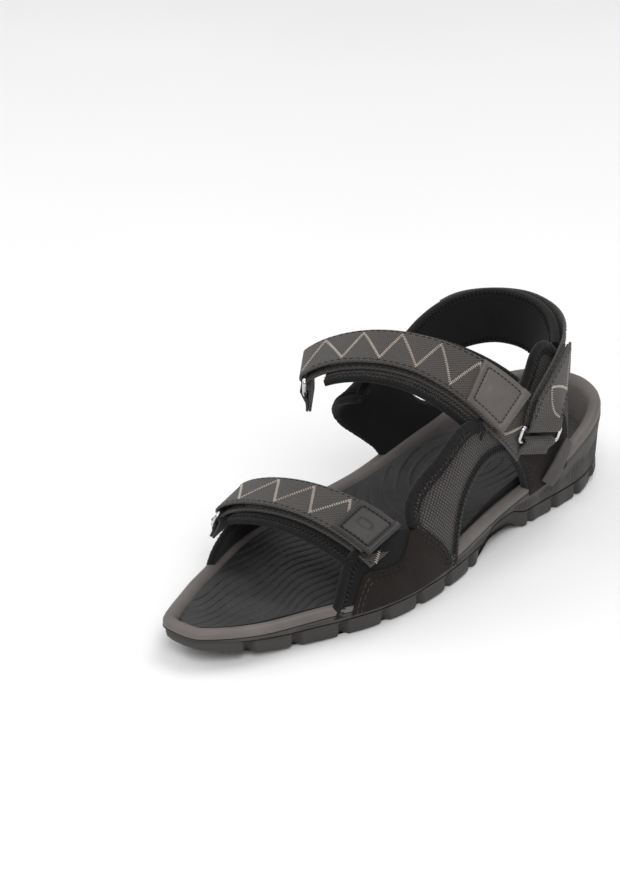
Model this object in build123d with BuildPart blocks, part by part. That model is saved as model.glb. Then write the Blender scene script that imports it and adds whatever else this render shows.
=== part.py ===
"""Left strappy sport sandal: layered sole, padded upper and three hook-and-loop straps.

Frame: +X is the lateral (outer) side, -Y the toe, +Y the heel, +Z up.
The origin lies on the ground under the middle of the sole. Millimetres.
"""
from build123d import *
from math import cos, pi, radians, sin
import os

os.makedirs("parts", exist_ok=True)

# ---------------------------------------------------------------- driving dimensions
SOLE_LENGTH = 294.0  # toe tip to heel back
SOLE_WIDTH = 95.0  # across the ball of the foot
HALF_LENGTH = SOLE_LENGTH / 2
OUTSOLE_INSET = 2.5  # the rubber starts this far inside the midsole edge
LEDGE = 5.0  # flat edge of the midsole that the upper stands on
RIM_WIDTH = 6.5  # smooth rim between the ledge and the footbed
RIM_SEAT = 3.0  # the ledge lies this far below the feather line
RIM_RISE = 1.5  # the rim stands this far above the feather line
FOOTBED_THICK = 4.0
FOOTBED_GAP = 0.2
BOND_GAP = 0.1  # glue line between two layers of the sole

PANEL_THICK = 2.6  # padded upper panels
OVERLAY_THICK = 1.0  # suede or mesh laid over a panel
LINING_THICK = 0.8  # lining laid inside a panel
LAYER_GAP = 0.15  # between two layers of the upper

FOREFOOT_WEBBING = 26.0  # strap widths
INSTEP_WEBBING = 28.0
HEEL_WEBBING = 24.0
WEBBING_THICK = 1.3
LOOP_THICK = 1.2  # soft half of the fastener
FASTENER_GAP = 0.5  # between the two halves
TAPE_MARGIN = 1.5  # each fastener tape is this much narrower than its strap, on each side
TAB_THICK = 2.2  # moulded pull tab
TAB_MARGIN = 0.6  # the pull tab is this much narrower than its strap, on each side
PAD_MARGIN = 6.0  # the padding under a strap is this much wider, on each side

WIRE = 2.0  # ring wire diameter
WIRE_GAP = 0.35  # between the wire and the webbing folded round it
HOOK_THICK = WIRE + 2 * WIRE_GAP - LOOP_THICK - FASTENER_GAP  # hook half, so that a strap folds flat
RING_DEPTH = 7.5  # between the two long bars of a ring
RING_MARGIN = 2.4  # from the edge of the strap to the middle of the ring's side wire

width_scale = SOLE_WIDTH / 95.0
length_scale = SOLE_LENGTH / 294.0


def spot(x, y, z=0.0):
    """Design point in model millimetres."""
    return Vector(x * width_scale, y * length_scale, z)


def table(rows, y):
    """Straight-line value at y from rows of (y, value)."""
    if y <= rows[0][0]:
        return rows[0][1]
    for (y0, v0), (y1, v1) in zip(rows, rows[1:]):
        if y <= y1:
            return v0 + (v1 - v0) * (y - y0) / (y1 - y0)
    return rows[-1][1]


# ---------------------------------------------------------------- lengthwise tables, (y, value)
LATERAL_SIDE = [(-147, 4), (-144, 8), (-135, 15), (-124, 21), (-112, 26), (-96, 32), (-81, 38),
                (-66, 43), (-50, 46), (-34, 47), (-18, 46.5), (-2, 44.5), (14, 42), (30, 39.5),
                (44, 38), (60, 37), (74, 37), (90, 37.5), (104, 37), (116, 35), (127, 31), (136, 25),
                (143, 16), (147, 6)]
MEDIAL_SIDE = [(-147, -13), (-144, -17), (-135, -22), (-124, -27), (-112, -32), (-96, -37), (-81, -42),
               (-66, -46), (-50, -48), (-34, -47.5), (-18, -45), (-2, -42.5), (14, -40), (30, -38.5),
               (44, -38), (60, -38), (74, -38), (90, -38), (104, -37.5), (116, -35.5), (127, -31),
               (136, -25), (143, -16), (147, -6)]
STATIONS = [y for y, x in LATERAL_SIDE]
GROUND = [(-147, 8.5), (-124, 3.5), (-104, 1), (-84, 0), (14, 0), (30, 5.5), (44, 5), (60, 0),
          (104, 0), (127, 2.5), (147, 8)]
PARTING = [(-147, 11), (-112, 6.5), (-81, 5), (-18, 5.5), (14, 8), (44, 10.5), (74, 8), (104, 8),
           (127, 9.5), (147, 14)]
FEATHER_LATERAL = [(-147, 17), (-112, 14.5), (-50, 14.5), (-18, 16.5), (14, 19), (44, 20.5), (74, 23),
                   (90, 27), (104, 32), (127, 38), (147, 41)]
FEATHER_MEDIAL = [(-147, 17), (-112, 14.5), (-50, 14.5), (-18, 17), (14, 21), (44, 27), (74, 31),
                  (104, 35), (127, 39), (147, 41)]
SEAT = [(-147, 16.5), (-112, 14), (-50, 13.5), (-18, 15), (14, 18), (44, 21.5), (74, 22.5),
        (116, 22.5), (147, 26)]


# ---------------------------------------------------------------- sole
def sole_section(station, inset):
    """Place along Y and the medial and lateral edges there, shrunk by inset on every side."""
    y = min(max(station * length_scale, inset - HALF_LENGTH), HALF_LENGTH - inset)
    lateral = max(table(LATERAL_SIDE, station) * width_scale - inset, 2.0)
    medial = min(table(MEDIAL_SIDE, station) * width_scale + inset, -2.0)
    return y, medial, lateral


def inner_stations(inset):
    """Stations inside the shrunk outline, with its two ends added."""
    end = HALF_LENGTH / length_scale - inset / length_scale
    return [-end] + [y for y in STATIONS if abs(y) < end - 0.5] + [end]


def height_at(heights, station, x):
    """Height at x on the straight line between the two edges of the sole; heights is (medial, lateral)."""
    y, medial, lateral = sole_section(station, 0)
    low, high = heights[0](station), heights[1](station)
    return low + (high - low) * (x - medial) / (lateral - medial)


def sole_block(inset, bottoms, tops):
    """Block under the foot; bottoms and tops are (medial, lateral) height functions of the station."""
    with BuildPart() as block:
        for station in inner_stations(inset):
            y, medial, lateral = sole_section(station, inset)
            with BuildSketch(Plane(origin=(0, y, 0), x_dir=(1, 0, 0), z_dir=(0, -1, 0))):
                with BuildLine():
                    Polyline((medial, height_at(bottoms, station, medial)),
                             (lateral, height_at(bottoms, station, lateral)),
                             (lateral, height_at(tops, station, lateral)),
                             (medial, height_at(tops, station, medial)), close=True)
                make_face()
        loft(ruled=True)
    return block.part


def ground(y):
    return table(GROUND, y)


def parting(y):
    return table(PARTING, y)


def midsole_bottom(y):
    return table(PARTING, y) + BOND_GAP


def ledge_medial(y):
    return table(FEATHER_MEDIAL, y) - RIM_SEAT


def ledge_lateral(y):
    return table(FEATHER_LATERAL, y) - RIM_SEAT


def rim_medial(y):
    return table(FEATHER_MEDIAL, y) + RIM_RISE


def rim_lateral(y):
    return table(FEATHER_LATERAL, y) + RIM_RISE


def seat(y):
    return table(SEAT, y)


def seat_bottom(y):
    return table(SEAT, y) - FOOTBED_THICK


def footbed_bottom(y):
    return table(SEAT, y) - FOOTBED_THICK + BOND_GAP


def rim_bottom_medial(y):
    return ledge_medial(y) + BOND_GAP


def rim_bottom_lateral(y):
    return ledge_lateral(y) + BOND_GAP


def above(y):
    return 70.0


ledges = (ledge_medial, ledge_lateral)
rims = (rim_medial, rim_lateral)

LUG_NOTCH = 3.0  # gap between two lugs along the edge
LUG_DEPTH = 4.0  # how far a notch runs in from the edge
LUG_HEIGHT = 4.0  # how high a notch cuts up from the ground
LATERAL_NOTCHES = (-104, -82, -60, -38, -16, 66, 86, 106)
MEDIAL_NOTCHES = (-106, -84, -62, -40, -18, 68, 88, 108)
TREAD_GROOVE = 3.0
TREAD_DEPTH = 2.0
TREAD_LENGTH = 46.0
TREAD_ROWS = (-94, -72, -50, -28, 76, 96)
outsole_body = sole_block(OUTSOLE_INSET, (ground, ground), (parting, parting))
notch_spots = [spot(table(LATERAL_SIDE, y), y) for y in LATERAL_NOTCHES]
notch_spots += [spot(table(MEDIAL_SIDE, y), y) for y in MEDIAL_NOTCHES]

with BuildPart() as outsole:
    add(outsole_body)
    with BuildSketch():
        with Locations(*notch_spots):
            Rectangle(2 * LUG_DEPTH, LUG_NOTCH)
    extrude(amount=LUG_HEIGHT, mode=Mode.SUBTRACT)
    with BuildSketch():
        with Locations(*[spot(0, y) for y in TREAD_ROWS]):
            Rectangle(TREAD_LENGTH * width_scale, TREAD_GROOVE)
    extrude(amount=TREAD_DEPTH, mode=Mode.SUBTRACT)
outsole.part.label = "outsole"
export_step(outsole.part, "parts/outsole.step")

SHANK_LENGTH = 80.0
SHANK_WIDTH = 22.0
SHANK_THICK = 1.6
SHANK_MIDDLE = 52.0
SHANK_HEIGHT = parting(44) + 0.8  # height of its underside above the ground

with BuildPart() as arch_shank:
    with BuildSketch(Plane.XY.offset(SHANK_HEIGHT)):
        with Locations(spot(0, SHANK_MIDDLE)):
            SlotOverall(SHANK_LENGTH, SHANK_WIDTH, rotation=90)
    extrude(amount=SHANK_THICK)
arch_shank.part.label = "arch_shank"
export_step(arch_shank.part, "parts/arch_shank.step")

midsole_body = sole_block(0, (midsole_bottom, midsole_bottom), ledges)
tray = sole_block(LEDGE + RIM_WIDTH, (seat_bottom, seat_bottom), (above, above))

with BuildPart() as midsole:
    add(midsole_body)
    add(tray, mode=Mode.SUBTRACT)
    add(arch_shank.part, mode=Mode.SUBTRACT)
midsole.part.label = "midsole"
export_step(midsole.part, "parts/midsole.step")

rim_body = sole_block(LEDGE, (rim_bottom_medial, rim_bottom_lateral), rims)

with BuildPart() as footbed_rim:
    add(rim_body)
    add(tray, mode=Mode.SUBTRACT)
footbed_rim.part.label = "footbed_rim"
export_step(footbed_rim.part, "parts/footbed_rim.step")

footbed = sole_block(LEDGE + RIM_WIDTH + FOOTBED_GAP, (footbed_bottom, footbed_bottom), (seat, seat))
footbed.label = "footbed"
export_step(footbed, "parts/footbed.step")

# ---------------------------------------------------------------- the surface that the upper follows
CROWN = [(-100, 30), (-80, 39), (-60, 47), (-45, 54), (-33, 61), (-10, 76), (0, 81), (20, 90),
         (36, 102), (50, 112), (124, 116)]
# exponent of the section's shape: 1 is an ellipse, lower is squarer
ROUNDNESS = [(-80, 0.8), (-20, 0.75), (0, 0.65), (20, 0.6), (44, 0.5), (124, 0.5)]
WALL_TOP = 52.0  # degrees round the section at which the side panels end
WALL_STEPS = 7
WALL_GAP = 0.25  # between the rim and the innermost layer of the upper
UPPER_STATIONS = [-96, -81, -66, -50, -34, -18, -2, 14, 30, 44, 60, 74, 90, 104, 116]
PANEL_LOW = LINING_THICK + LAYER_GAP
OVERLAY_LOW = PANEL_LOW + PANEL_THICK + LAYER_GAP
OVERLAY_TOP = OVERLAY_LOW + OVERLAY_THICK


def last_point(station, degrees, grow, side):
    """Point of the upper's surface, moved outwards by grow: 0 degrees at the ledge, 90 at the crown."""
    y, medial, lateral = sole_section(station, 0)
    end = lateral if side > 0 else medial
    edge = side * end - LEDGE + WALL_GAP
    base = max(height_at(ledges, station, end), height_at(ledges, station, end - side * LEDGE)) + BOND_GAP
    power = table(ROUNDNESS, station)
    rise = table(CROWN, station) - base
    x = side * (edge + grow) * cos(radians(degrees)) ** power
    z = base + (rise + grow) * sin(radians(degrees)) ** power
    return x, z


def side_wall(side, low, high):
    """Thin wall on one side of the foot, between two distances from the surface."""
    angles = [WALL_TOP * step / WALL_STEPS for step in range(WALL_STEPS + 1)]
    with BuildPart() as wall:
        for station in UPPER_STATIONS:
            inner = [last_point(station, degrees, low, side) for degrees in angles]
            outer = [last_point(station, degrees, high, side) for degrees in reversed(angles)]
            with BuildSketch(Plane(origin=(0, station * length_scale, 0), x_dir=(1, 0, 0), z_dir=(0, -1, 0))):
                with BuildLine():
                    Polyline(*inner, *outer, close=True)
                make_face()
        loft(ruled=True)
    return wall.part


def scaled(points):
    """Side-view points, (station, height), in model millimetres."""
    return [(y * length_scale, z) for y, z in points]


def largest(part):
    """Biggest solid of a cut piece."""
    return Part(part.solids().sort_by(SortBy.VOLUME)[-1].wrapped)


def panel(wall, side, edge, window=(), cuts=()):
    """Wall trimmed to a side-view outline, with an optional window and other blocks cut from it."""
    with BuildPart() as trimmed:
        with BuildSketch(Plane.YZ):
            with BuildLine():
                Polyline(*scaled(edge), close=True)
            make_face()
            if window:
                with BuildLine():
                    Spline(*scaled(window))
                    Line(scaled(window)[-1], scaled(window)[0])
                make_face(mode=Mode.SUBTRACT)
        extrude(amount=side * 90.0)
        add(wall, mode=Mode.INTERSECT)
        for block in cuts:
            add(block, mode=Mode.SUBTRACT)
    return largest(trimmed.part)


def save(part, name):
    """Label a finished piece and write it."""
    part.label = name
    export_step(part, "parts/" + name + ".step")


# ---------------------------------------------------------------- straps
STRAP_STEPS = 28  # sections along a whole strap; spans below are counted in these steps


def arch_point(start, end, rise, squareness, share):
    """Point on a strap's arch, share 0 at the lateral start and 1 at the medial end."""
    middle = start + (end - start) * share
    return middle + Vector(0, 0, rise * sin(pi * share) ** squareness)


def leaning(leans, share):
    """Direction across the strap: leans holds it at the start, the middle and the end of the arch."""
    first, middle, last = leans
    if share < 0.5:
        return first + (middle - first) * (share * 2)
    return middle + (last - middle) * (share * 2 - 1)


def arch_frames(route, first, last):
    """(point, along, across, outward) at every step of an arch between two steps."""
    start, end, rise, squareness, lean = route
    frames = []
    for step in range(first, last + 1):
        share = step / STRAP_STEPS
        before = arch_point(start, end, rise, squareness, max(share - 0.01, 0.001))
        after = arch_point(start, end, rise, squareness, min(share + 0.01, 0.999))
        along = (after - before).normalized()
        outward = leaning(lean, share).cross(along).normalized()
        frames.append((arch_point(start, end, rise, squareness, share), along, along.cross(outward), outward))
    return frames


def heel_frames(route, first, last):
    """(point, along, across, outward) along a line that wraps the heel, facing away from its axis."""
    line, axis = route
    frames = []
    for step in range(first, last + 1):
        share = step / STRAP_STEPS
        point = line.position_at(share)
        along = line.tangent_at(share)
        radial = Vector(point.X - axis.X, point.Y - axis.Y, 0)
        outward = (radial - along * radial.dot(along)).normalized()
        frames.append((point, along, along.cross(outward), outward))
    return frames


def band(frames, width, low, high):
    """Flat strap that follows frames, between two distances outwards."""
    with BuildPart() as strap:
        for point, along, across, outward in frames:
            with BuildSketch(Plane(origin=point + outward * (low + high) / 2, x_dir=across, z_dir=along)):
                Rectangle(width, high - low)
        loft(ruled=True)
    return strap.part


def bar(start, end, diameter):
    """Straight round bar between two points."""
    with BuildPart() as rod:
        with BuildSketch(Plane(origin=start, z_dir=(end - start).normalized())):
            Circle(diameter / 2)
        extrude(amount=(end - start).length)
    return rod.part


def ring_wire(origin, along, across, width):
    """Rectangular wire ring: two long bars across, RING_DEPTH apart, and two short sides."""
    half = width / 2 + RING_MARGIN
    corners = [origin + across * half, origin + across * half + along * RING_DEPTH,
               origin - across * half + along * RING_DEPTH, origin - across * half]
    bars = [bar(start, end, WIRE) for start, end in zip(corners, corners[1:] + corners[:1])]
    with BuildPart() as ring:
        for piece in bars:
            add(piece)
        with Locations(*corners):
            Sphere(WIRE / 2)
    return ring.part


def quarter_fold(centre, along, across, outward, width):
    """Webbing bent a quarter turn round a bar, from the outward side to the far side."""
    inner = WIRE / 2 + WIRE_GAP
    outer = inner + WEBBING_THICK
    with BuildPart() as fold:
        with BuildSketch(Plane(origin=centre - across * width / 2, x_dir=along, z_dir=across)):
            Circle(outer)
            Circle(inner, mode=Mode.SUBTRACT)
            with BuildLine():
                Polyline((0, 0), (outer + 1, 0), (outer + 1, outer + 1), (0, outer + 1), close=True)
            make_face(mode=Mode.INTERSECT)
        extrude(amount=width)
    return fold.part


BASE_TOP = WEBBING_THICK
LOOP_TOP = BASE_TOP + LOOP_THICK
HOOK_LOW = LOOP_TOP + FASTENER_GAP
FLAP_LOW = HOOK_LOW + HOOK_THICK
FLAP_TOP = FLAP_LOW + WEBBING_THICK
BAR_LEVEL = (BASE_TOP + FLAP_LOW) / 2
PAD_THICK = 3.0
SWEEP = 14.0  # height kept clear above a strap


def hook_and_loop(name, frames, route, width, hang, base_span, flap_span, tape_span, tab_span=None):
    """Base webbing, loop tape, ring, folded flap, hook tape and pull tab; returns the ring bar's place.

    hang is how far the ring turns down from the strap, in degrees; the place is (centre, ring along, across,
    ring outward).
    """
    tape = frames(route, *tape_span)
    flap = frames(route, *flap_span)
    point, along, across, outward = flap[-1]
    centre = point + outward * BAR_LEVEL
    save(band(frames(route, *base_span), width, 0.0, BASE_TOP), name + "_strap_base")
    save(band(tape, width - 2 * TAPE_MARGIN, BASE_TOP, LOOP_TOP), name + "_loop_tape")
    save(band(tape, width - 2 * TAPE_MARGIN, HOOK_LOW, FLAP_LOW), name + "_hook_tape")
    strap = band(flap, width, FLAP_LOW, FLAP_TOP)
    fold = quarter_fold(centre, along, across, outward, width)
    with BuildPart() as folded:
        add(strap)
        add(fold)
    save(folded.part, name + "_strap_flap")
    ring_along = along * cos(radians(hang)) - outward * sin(radians(hang))
    ring_outward = outward * cos(radians(hang)) + along * sin(radians(hang))
    save(ring_wire(centre, ring_along, across, width), name + "_ring")
    if tab_span:
        tab = frames(route, *tab_span)
        save(band(tab, width - 2 * TAB_MARGIN, FLAP_TOP, FLAP_TOP + TAB_THICK), name + "_pull_tab")
    return centre, ring_along, across, ring_outward


def keeper(name, centre, along, across, outward, width, length):
    """Webbing loop round the far bar of a ring, its two layers sewn together beyond it."""
    inner = WIRE / 2 + WIRE_GAP
    outer = inner + WEBBING_THICK
    origin = centre + along * RING_DEPTH
    with BuildPart() as loop:
        with BuildSketch(Plane(origin=origin - across * width / 2, x_dir=along, z_dir=across)):
            with BuildLine():
                Polyline((0, -outer), (length, -outer), (length, -outer + 2 * WEBBING_THICK), (outer, inner + 0.4),
                         (0, outer), close=True)
            make_face()
            Circle(outer)
            Circle(inner, mode=Mode.SUBTRACT)
        extrude(amount=width)
    save(loop.part, name)
    return loop.part


# lateral start, medial end, rise of the arch, its squareness, direction that the strap leans
FOREFOOT_LEAN = (Vector(-0.1, 0.95, 0.25), Vector(-0.25, 0.96, 0.1), Vector(-0.3, 0.95, 0))
INSTEP_LEAN = (Vector(-0.1, 0.8, 0.6), Vector(-0.5, 0.82, 0.25), Vector(-0.62, 0.78, 0))
FOREFOOT_ROUTE = (spot(46, -56, 24), spot(-43, -69, 31), 17.0, 0.5, FOREFOOT_LEAN)
INSTEP_ROUTE = (spot(46, 38, 56), spot(-41, -20, 82), 26.0, 0.6, INSTEP_LEAN)
# the heel strap runs from the medial side round the back and down to its ring
HEEL_AXIS = spot(0, 62)
HEEL_LINE = Spline(spot(-38.5, 83, 79), spot(-32.5, 95, 83), spot(-20, 105, 85), spot(-4, 109, 86), spot(12, 106, 85),
                   spot(24, 98, 83.5), spot(31.5, 88, 81), spot(36.5, 77, 77), spot(39.5, 67, 71), spot(40.5, 60, 64),
                   spot(40.6, 57.5, 56))
COLLAR_LINE = Spline(spot(-39, 46, 59), spot(-39.5, 60, 67), spot(-37, 75, 75), spot(-31, 89, 81), spot(-19, 101, 84),
                     spot(-4, 105, 84), spot(10, 102, 82), spot(20, 95, 79), spot(28.5, 86, 75))
COLLAR_WIDTH = 28.0
COLLAR_THICK = 3.4
HEEL_ROUTE = (HEEL_LINE, HEEL_AXIS)
COLLAR_ROUTE = (COLLAR_LINE, HEEL_AXIS)

FOREFOOT_BASE = (2, 26)
INSTEP_BASE = (2, 26)
HEEL_BASE = (1, 27)
FOREFOOT_PAD = (4, 25)
INSTEP_PAD = (3, 25)
forefoot_bar = hook_and_loop("forefoot", arch_frames, FOREFOOT_ROUTE, FOREFOOT_WEBBING, 25, FOREFOOT_BASE, (4, 27),
                             (4, 23), (3, 9))
instep_bar = hook_and_loop("instep", arch_frames, INSTEP_ROUTE, INSTEP_WEBBING, 50, INSTEP_BASE, (3, 27),
                           (3, 24), (2, 7))
heel_bar = hook_and_loop("heel", heel_frames, HEEL_ROUTE, HEEL_WEBBING, 10, HEEL_BASE, (20, 28), (20, 26))
forefoot_keeper = keeper("forefoot_ring_keeper", *forefoot_bar, FOREFOOT_WEBBING - 2, 9.0)
keeper("instep_ring_keeper", *instep_bar, INSTEP_WEBBING - 2, 10.0)
heel_anchor = keeper("heel_ring_anchor", *heel_bar, HEEL_WEBBING - 2, 7.0)

pad_low = -LAYER_GAP - PAD_THICK
save(band(arch_frames(FOREFOOT_ROUTE, *FOREFOOT_PAD), FOREFOOT_WEBBING + 2 * PAD_MARGIN, pad_low, -LAYER_GAP),
     "vamp_pad")
save(band(arch_frames(INSTEP_ROUTE, *INSTEP_PAD), INSTEP_WEBBING + 2 * PAD_MARGIN, pad_low, -LAYER_GAP),
     "instep_pad")
collar = heel_frames(COLLAR_ROUTE, 0, STRAP_STEPS)
save(band(collar, COLLAR_WIDTH, -COLLAR_THICK / 2, COLLAR_THICK / 2), "heel_collar")
save(band(collar, COLLAR_WIDTH - 4, -COLLAR_THICK / 2 - LAYER_GAP - LINING_THICK, -COLLAR_THICK / 2 - LAYER_GAP),
     "heel_collar_lining")

# ---------------------------------------------------------------- side panels, cut back where a strap passes
STRAP_CLEAR = 0.4  # around a strap and its pad
forefoot_room = band(arch_frames(FOREFOOT_ROUTE, 0, STRAP_STEPS), FOREFOOT_WEBBING + 2 * STRAP_CLEAR,
                     -STRAP_CLEAR, SWEEP)
instep_room = band(arch_frames(INSTEP_ROUTE, 0, STRAP_STEPS), INSTEP_WEBBING + 2 * STRAP_CLEAR,
                   -STRAP_CLEAR, SWEEP)
heel_room = band(heel_frames(HEEL_ROUTE, 0, STRAP_STEPS), HEEL_WEBBING + 2 * STRAP_CLEAR, -STRAP_CLEAR, SWEEP)
vamp_pad_room = band(arch_frames(FOREFOOT_ROUTE, *FOREFOOT_PAD), FOREFOOT_WEBBING + 2 * PAD_MARGIN + 2 * LAYER_GAP,
                     pad_low - LAYER_GAP, SWEEP)
instep_pad_room = band(arch_frames(INSTEP_ROUTE, *INSTEP_PAD), INSTEP_WEBBING + 2 * PAD_MARGIN + 2 * LAYER_GAP,
                       pad_low - LAYER_GAP, SWEEP)
collar_room = band(collar, COLLAR_WIDTH + 2 * LAYER_GAP, -COLLAR_THICK / 2 - 2 * LAYER_GAP - LINING_THICK, SWEEP)
forefoot_rooms = (forefoot_room, vamp_pad_room, forefoot_keeper)
quarter_rooms = (instep_room, instep_pad_room, heel_room, collar_room, heel_anchor)

ARCH_WINDOW = [(-12, 4), (-12, 24), (-5, 40), (8, 49), (24, 52), (41, 46), (53, 32), (58, 17), (60, 4)]
lateral_wall = side_wall(1, PANEL_LOW, PANEL_LOW + PANEL_THICK)
lateral_skin = side_wall(1, OVERLAY_LOW, OVERLAY_TOP)
lateral_inside = side_wall(1, 0.0, LINING_THICK)
medial_wall = side_wall(-1, PANEL_LOW, PANEL_LOW + PANEL_THICK)
medial_skin = side_wall(-1, OVERLAY_LOW, OVERLAY_TOP)
medial_inside = side_wall(-1, 0.0, LINING_THICK)

QUARTER = [(-15.6, 6), (-23.6, 21), (-33.6, 31), (-41, 38), (-36, 47), (-26, 54), (-14, 60), (-4, 66),
           (6, 69), (16, 66), (26, 60), (36, 57), (42, 62), (50, 70), (57, 80), (63, 89), (70, 91),
           (78, 88), (84, 78), (88, 62), (90, 48), (91, 6)]
save(panel(lateral_wall, 1, QUARTER, ARCH_WINDOW, quarter_rooms), "quarter_lateral")
QUARTER_LINING = [(-15, 6), (-22, 21), (-32, 32), (-39, 38), (-34, 45), (-25, 52), (-14, 58), (-4, 64),
                  (6, 67), (16, 64), (26, 58), (37, 55), (44, 61), (52, 70), (59, 80), (65, 87),
                  (70, 88), (76, 86), (82, 76), (86, 61), (88, 47), (89, 6)]
save(panel(lateral_inside, 1, QUARTER_LINING, ARCH_WINDOW, quarter_rooms + (rim_body,)), "quarter_lateral_lining")

VAMP = [(-88, 7), (-87, 21), (-84, 33), (-82, 36), (-66, 35), (-50, 37), (-41.5, 38), (-34.4, 31),
        (-24.4, 21), (-16.4, 6)]
save(panel(lateral_wall, 1, VAMP, (), forefoot_rooms), "vamp_lateral")
VAMP_SUEDE = [(-84, 6), (-83, 20), (-79, 30), (-72, 33), (-62, 33.5), (-50, 35), (-41, 36), (-30, 34),
              (-20, 24), (-12, 9)]
save(panel(lateral_skin, 1, VAMP_SUEDE, (), forefoot_rooms), "vamp_suede_lateral")
REAR_SUEDE = [(58, 7), (57, 25), (48, 41), (45, 49), (52, 54), (62, 55), (76, 52), (88, 47), (88, 7)]
save(panel(lateral_skin, 1, REAR_SUEDE, (), quarter_rooms), "rear_suede")

MEDIAL_VAMP = [(-94, 7), (-92, 17), (-84, 25), (-76, 30), (-60, 31), (-48, 30), (-34, 23), (-26, 7)]
save(panel(medial_wall, -1, MEDIAL_VAMP, (), forefoot_rooms), "vamp_medial")
MEDIAL_MESH = [(-74, 12), (-73, 19), (-68, 24), (-60, 25), (-52, 23), (-44, 15), (-42, 12)]
save(panel(medial_skin, -1, MEDIAL_MESH, (), (forefoot_keeper,)), "vamp_mesh_medial")
MEDIAL_LINING = [(-92, 7), (-90, 17), (-82, 24), (-74, 28.5), (-60, 29.5), (-49, 28.5), (-36, 22),
                 (-28, 7)]
save(panel(medial_inside, -1, MEDIAL_LINING, (), (vamp_pad_room, rim_body)), "vamp_medial_lining")

MEDIAL_QUARTER = [(40, 6), (36, 27), (20, 41), (4, 53), (-6, 65), (-10, 72), (-4, 77), (14, 79),
                  (30, 77), (41, 74), (44, 58), (54, 46), (66, 38), (84, 35), (84, 6)]
save(panel(medial_wall, -1, MEDIAL_QUARTER, (), quarter_rooms), "quarter_medial")
MEDIAL_QUARTER_LINING = [(42, 6), (38, 28), (22, 42), (6, 54), (-4, 66), (-8, 71), (-3, 75), (14, 77),
                         (30, 75), (39, 72), (42, 57), (52, 45), (64, 37), (82, 34), (82, 6)]
save(panel(medial_inside, -1, MEDIAL_QUARTER_LINING, (), quarter_rooms + (rim_body,)), "quarter_medial_lining")
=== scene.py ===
"""Looks of a left strappy sport sandal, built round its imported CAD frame.

Shapes are worked out in millimetres and made in metres. +X is the lateral side, -Y the toe, +Z up.
"""
import math

import bmesh
import bpy
import numpy as np
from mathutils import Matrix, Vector
from mathutils.geometry import delaunay_2d_cdt


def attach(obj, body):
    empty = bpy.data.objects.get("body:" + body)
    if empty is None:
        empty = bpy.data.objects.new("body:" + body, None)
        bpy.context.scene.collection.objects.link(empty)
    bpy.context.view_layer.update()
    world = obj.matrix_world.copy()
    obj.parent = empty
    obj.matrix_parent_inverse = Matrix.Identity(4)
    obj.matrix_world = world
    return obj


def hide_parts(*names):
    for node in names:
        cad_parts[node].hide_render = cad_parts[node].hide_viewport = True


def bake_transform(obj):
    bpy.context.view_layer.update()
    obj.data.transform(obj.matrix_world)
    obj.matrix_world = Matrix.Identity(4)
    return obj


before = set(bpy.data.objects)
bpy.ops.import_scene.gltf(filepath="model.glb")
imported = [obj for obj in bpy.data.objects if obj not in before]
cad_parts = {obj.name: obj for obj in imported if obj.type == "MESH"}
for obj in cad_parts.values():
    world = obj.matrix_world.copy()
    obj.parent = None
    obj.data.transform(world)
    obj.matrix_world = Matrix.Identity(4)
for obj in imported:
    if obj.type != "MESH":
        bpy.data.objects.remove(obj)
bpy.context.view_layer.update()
MM = 0.001
rng = np.random.default_rng(7)

# ---------------------------------------------------------------- sizes shared with the CAD model, in mm
LATERAL_SIDE = [(-147, 4), (-144, 8), (-135, 15), (-124, 21), (-112, 26), (-96, 32), (-81, 38), (-66, 43),
                (-50, 46), (-34, 47), (-18, 46.5), (-2, 44.5), (14, 42), (30, 39.5), (44, 38), (60, 37),
                (74, 37), (90, 37.5), (104, 37), (116, 35), (127, 31), (136, 25), (143, 16), (147, 6)]
MEDIAL_SIDE = [(-147, -13), (-144, -17), (-135, -22), (-124, -27), (-112, -32), (-96, -37), (-81, -42),
               (-66, -46), (-50, -48), (-34, -47.5), (-18, -45), (-2, -42.5), (14, -40), (30, -38.5),
               (44, -38), (60, -38), (74, -38), (90, -38), (104, -37.5), (116, -35.5), (127, -31),
               (136, -25), (143, -16), (147, -6)]
GROUND = [(-147, 8.5), (-124, 3.5), (-104, 1), (-84, 0), (14, 0), (30, 5.5), (44, 5), (60, 0), (104, 0),
          (127, 2.5), (147, 8)]
FEATHER_LATERAL = [(-147, 17), (-112, 14.5), (-50, 14.5), (-18, 16.5), (14, 19), (44, 20.5), (74, 23),
                   (90, 27), (104, 32), (127, 38), (147, 41)]
FEATHER_MEDIAL = [(-147, 17), (-112, 14.5), (-50, 14.5), (-18, 17), (14, 21), (44, 27), (74, 31),
                  (104, 35), (127, 39), (147, 41)]
SEAT = [(-147, 16.5), (-112, 14), (-50, 13.5), (-18, 15), (14, 18), (44, 21.5), (74, 22.5), (116, 22.5),
        (147, 26)]
CROWN = [(-100, 30), (-80, 39), (-60, 47), (-45, 54), (-33, 61), (-10, 76), (0, 81), (20, 90), (36, 102),
         (50, 112), (124, 116)]
ROUNDNESS = [(-80, 0.8), (-20, 0.75), (0, 0.65), (20, 0.6), (44, 0.5), (124, 0.5)]
LEDGE, RIM_SEAT, RIM_RISE, WALL_GAP = 5.0, 3.0, 1.5, 0.35
WEB, LOOP_TOP, HOOK_LOW, FLAP_LOW, FLAP_TOP, BAR_LEVEL = 1.3, 2.5, 3.0, 4.0, 5.3, 2.65
RING_DEPTH, RING_MARGIN, WIRE = 7.5, 2.4, 2.0
ROUTE_POINTS = 601
STEPS = 28  # steps of a strap's route in the CAD model
HEEL_AXIS = (0, 62, 0)
SHARP = math.radians(48)  # edges sharper than this stay crisp
ROOT = "sandal"


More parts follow.
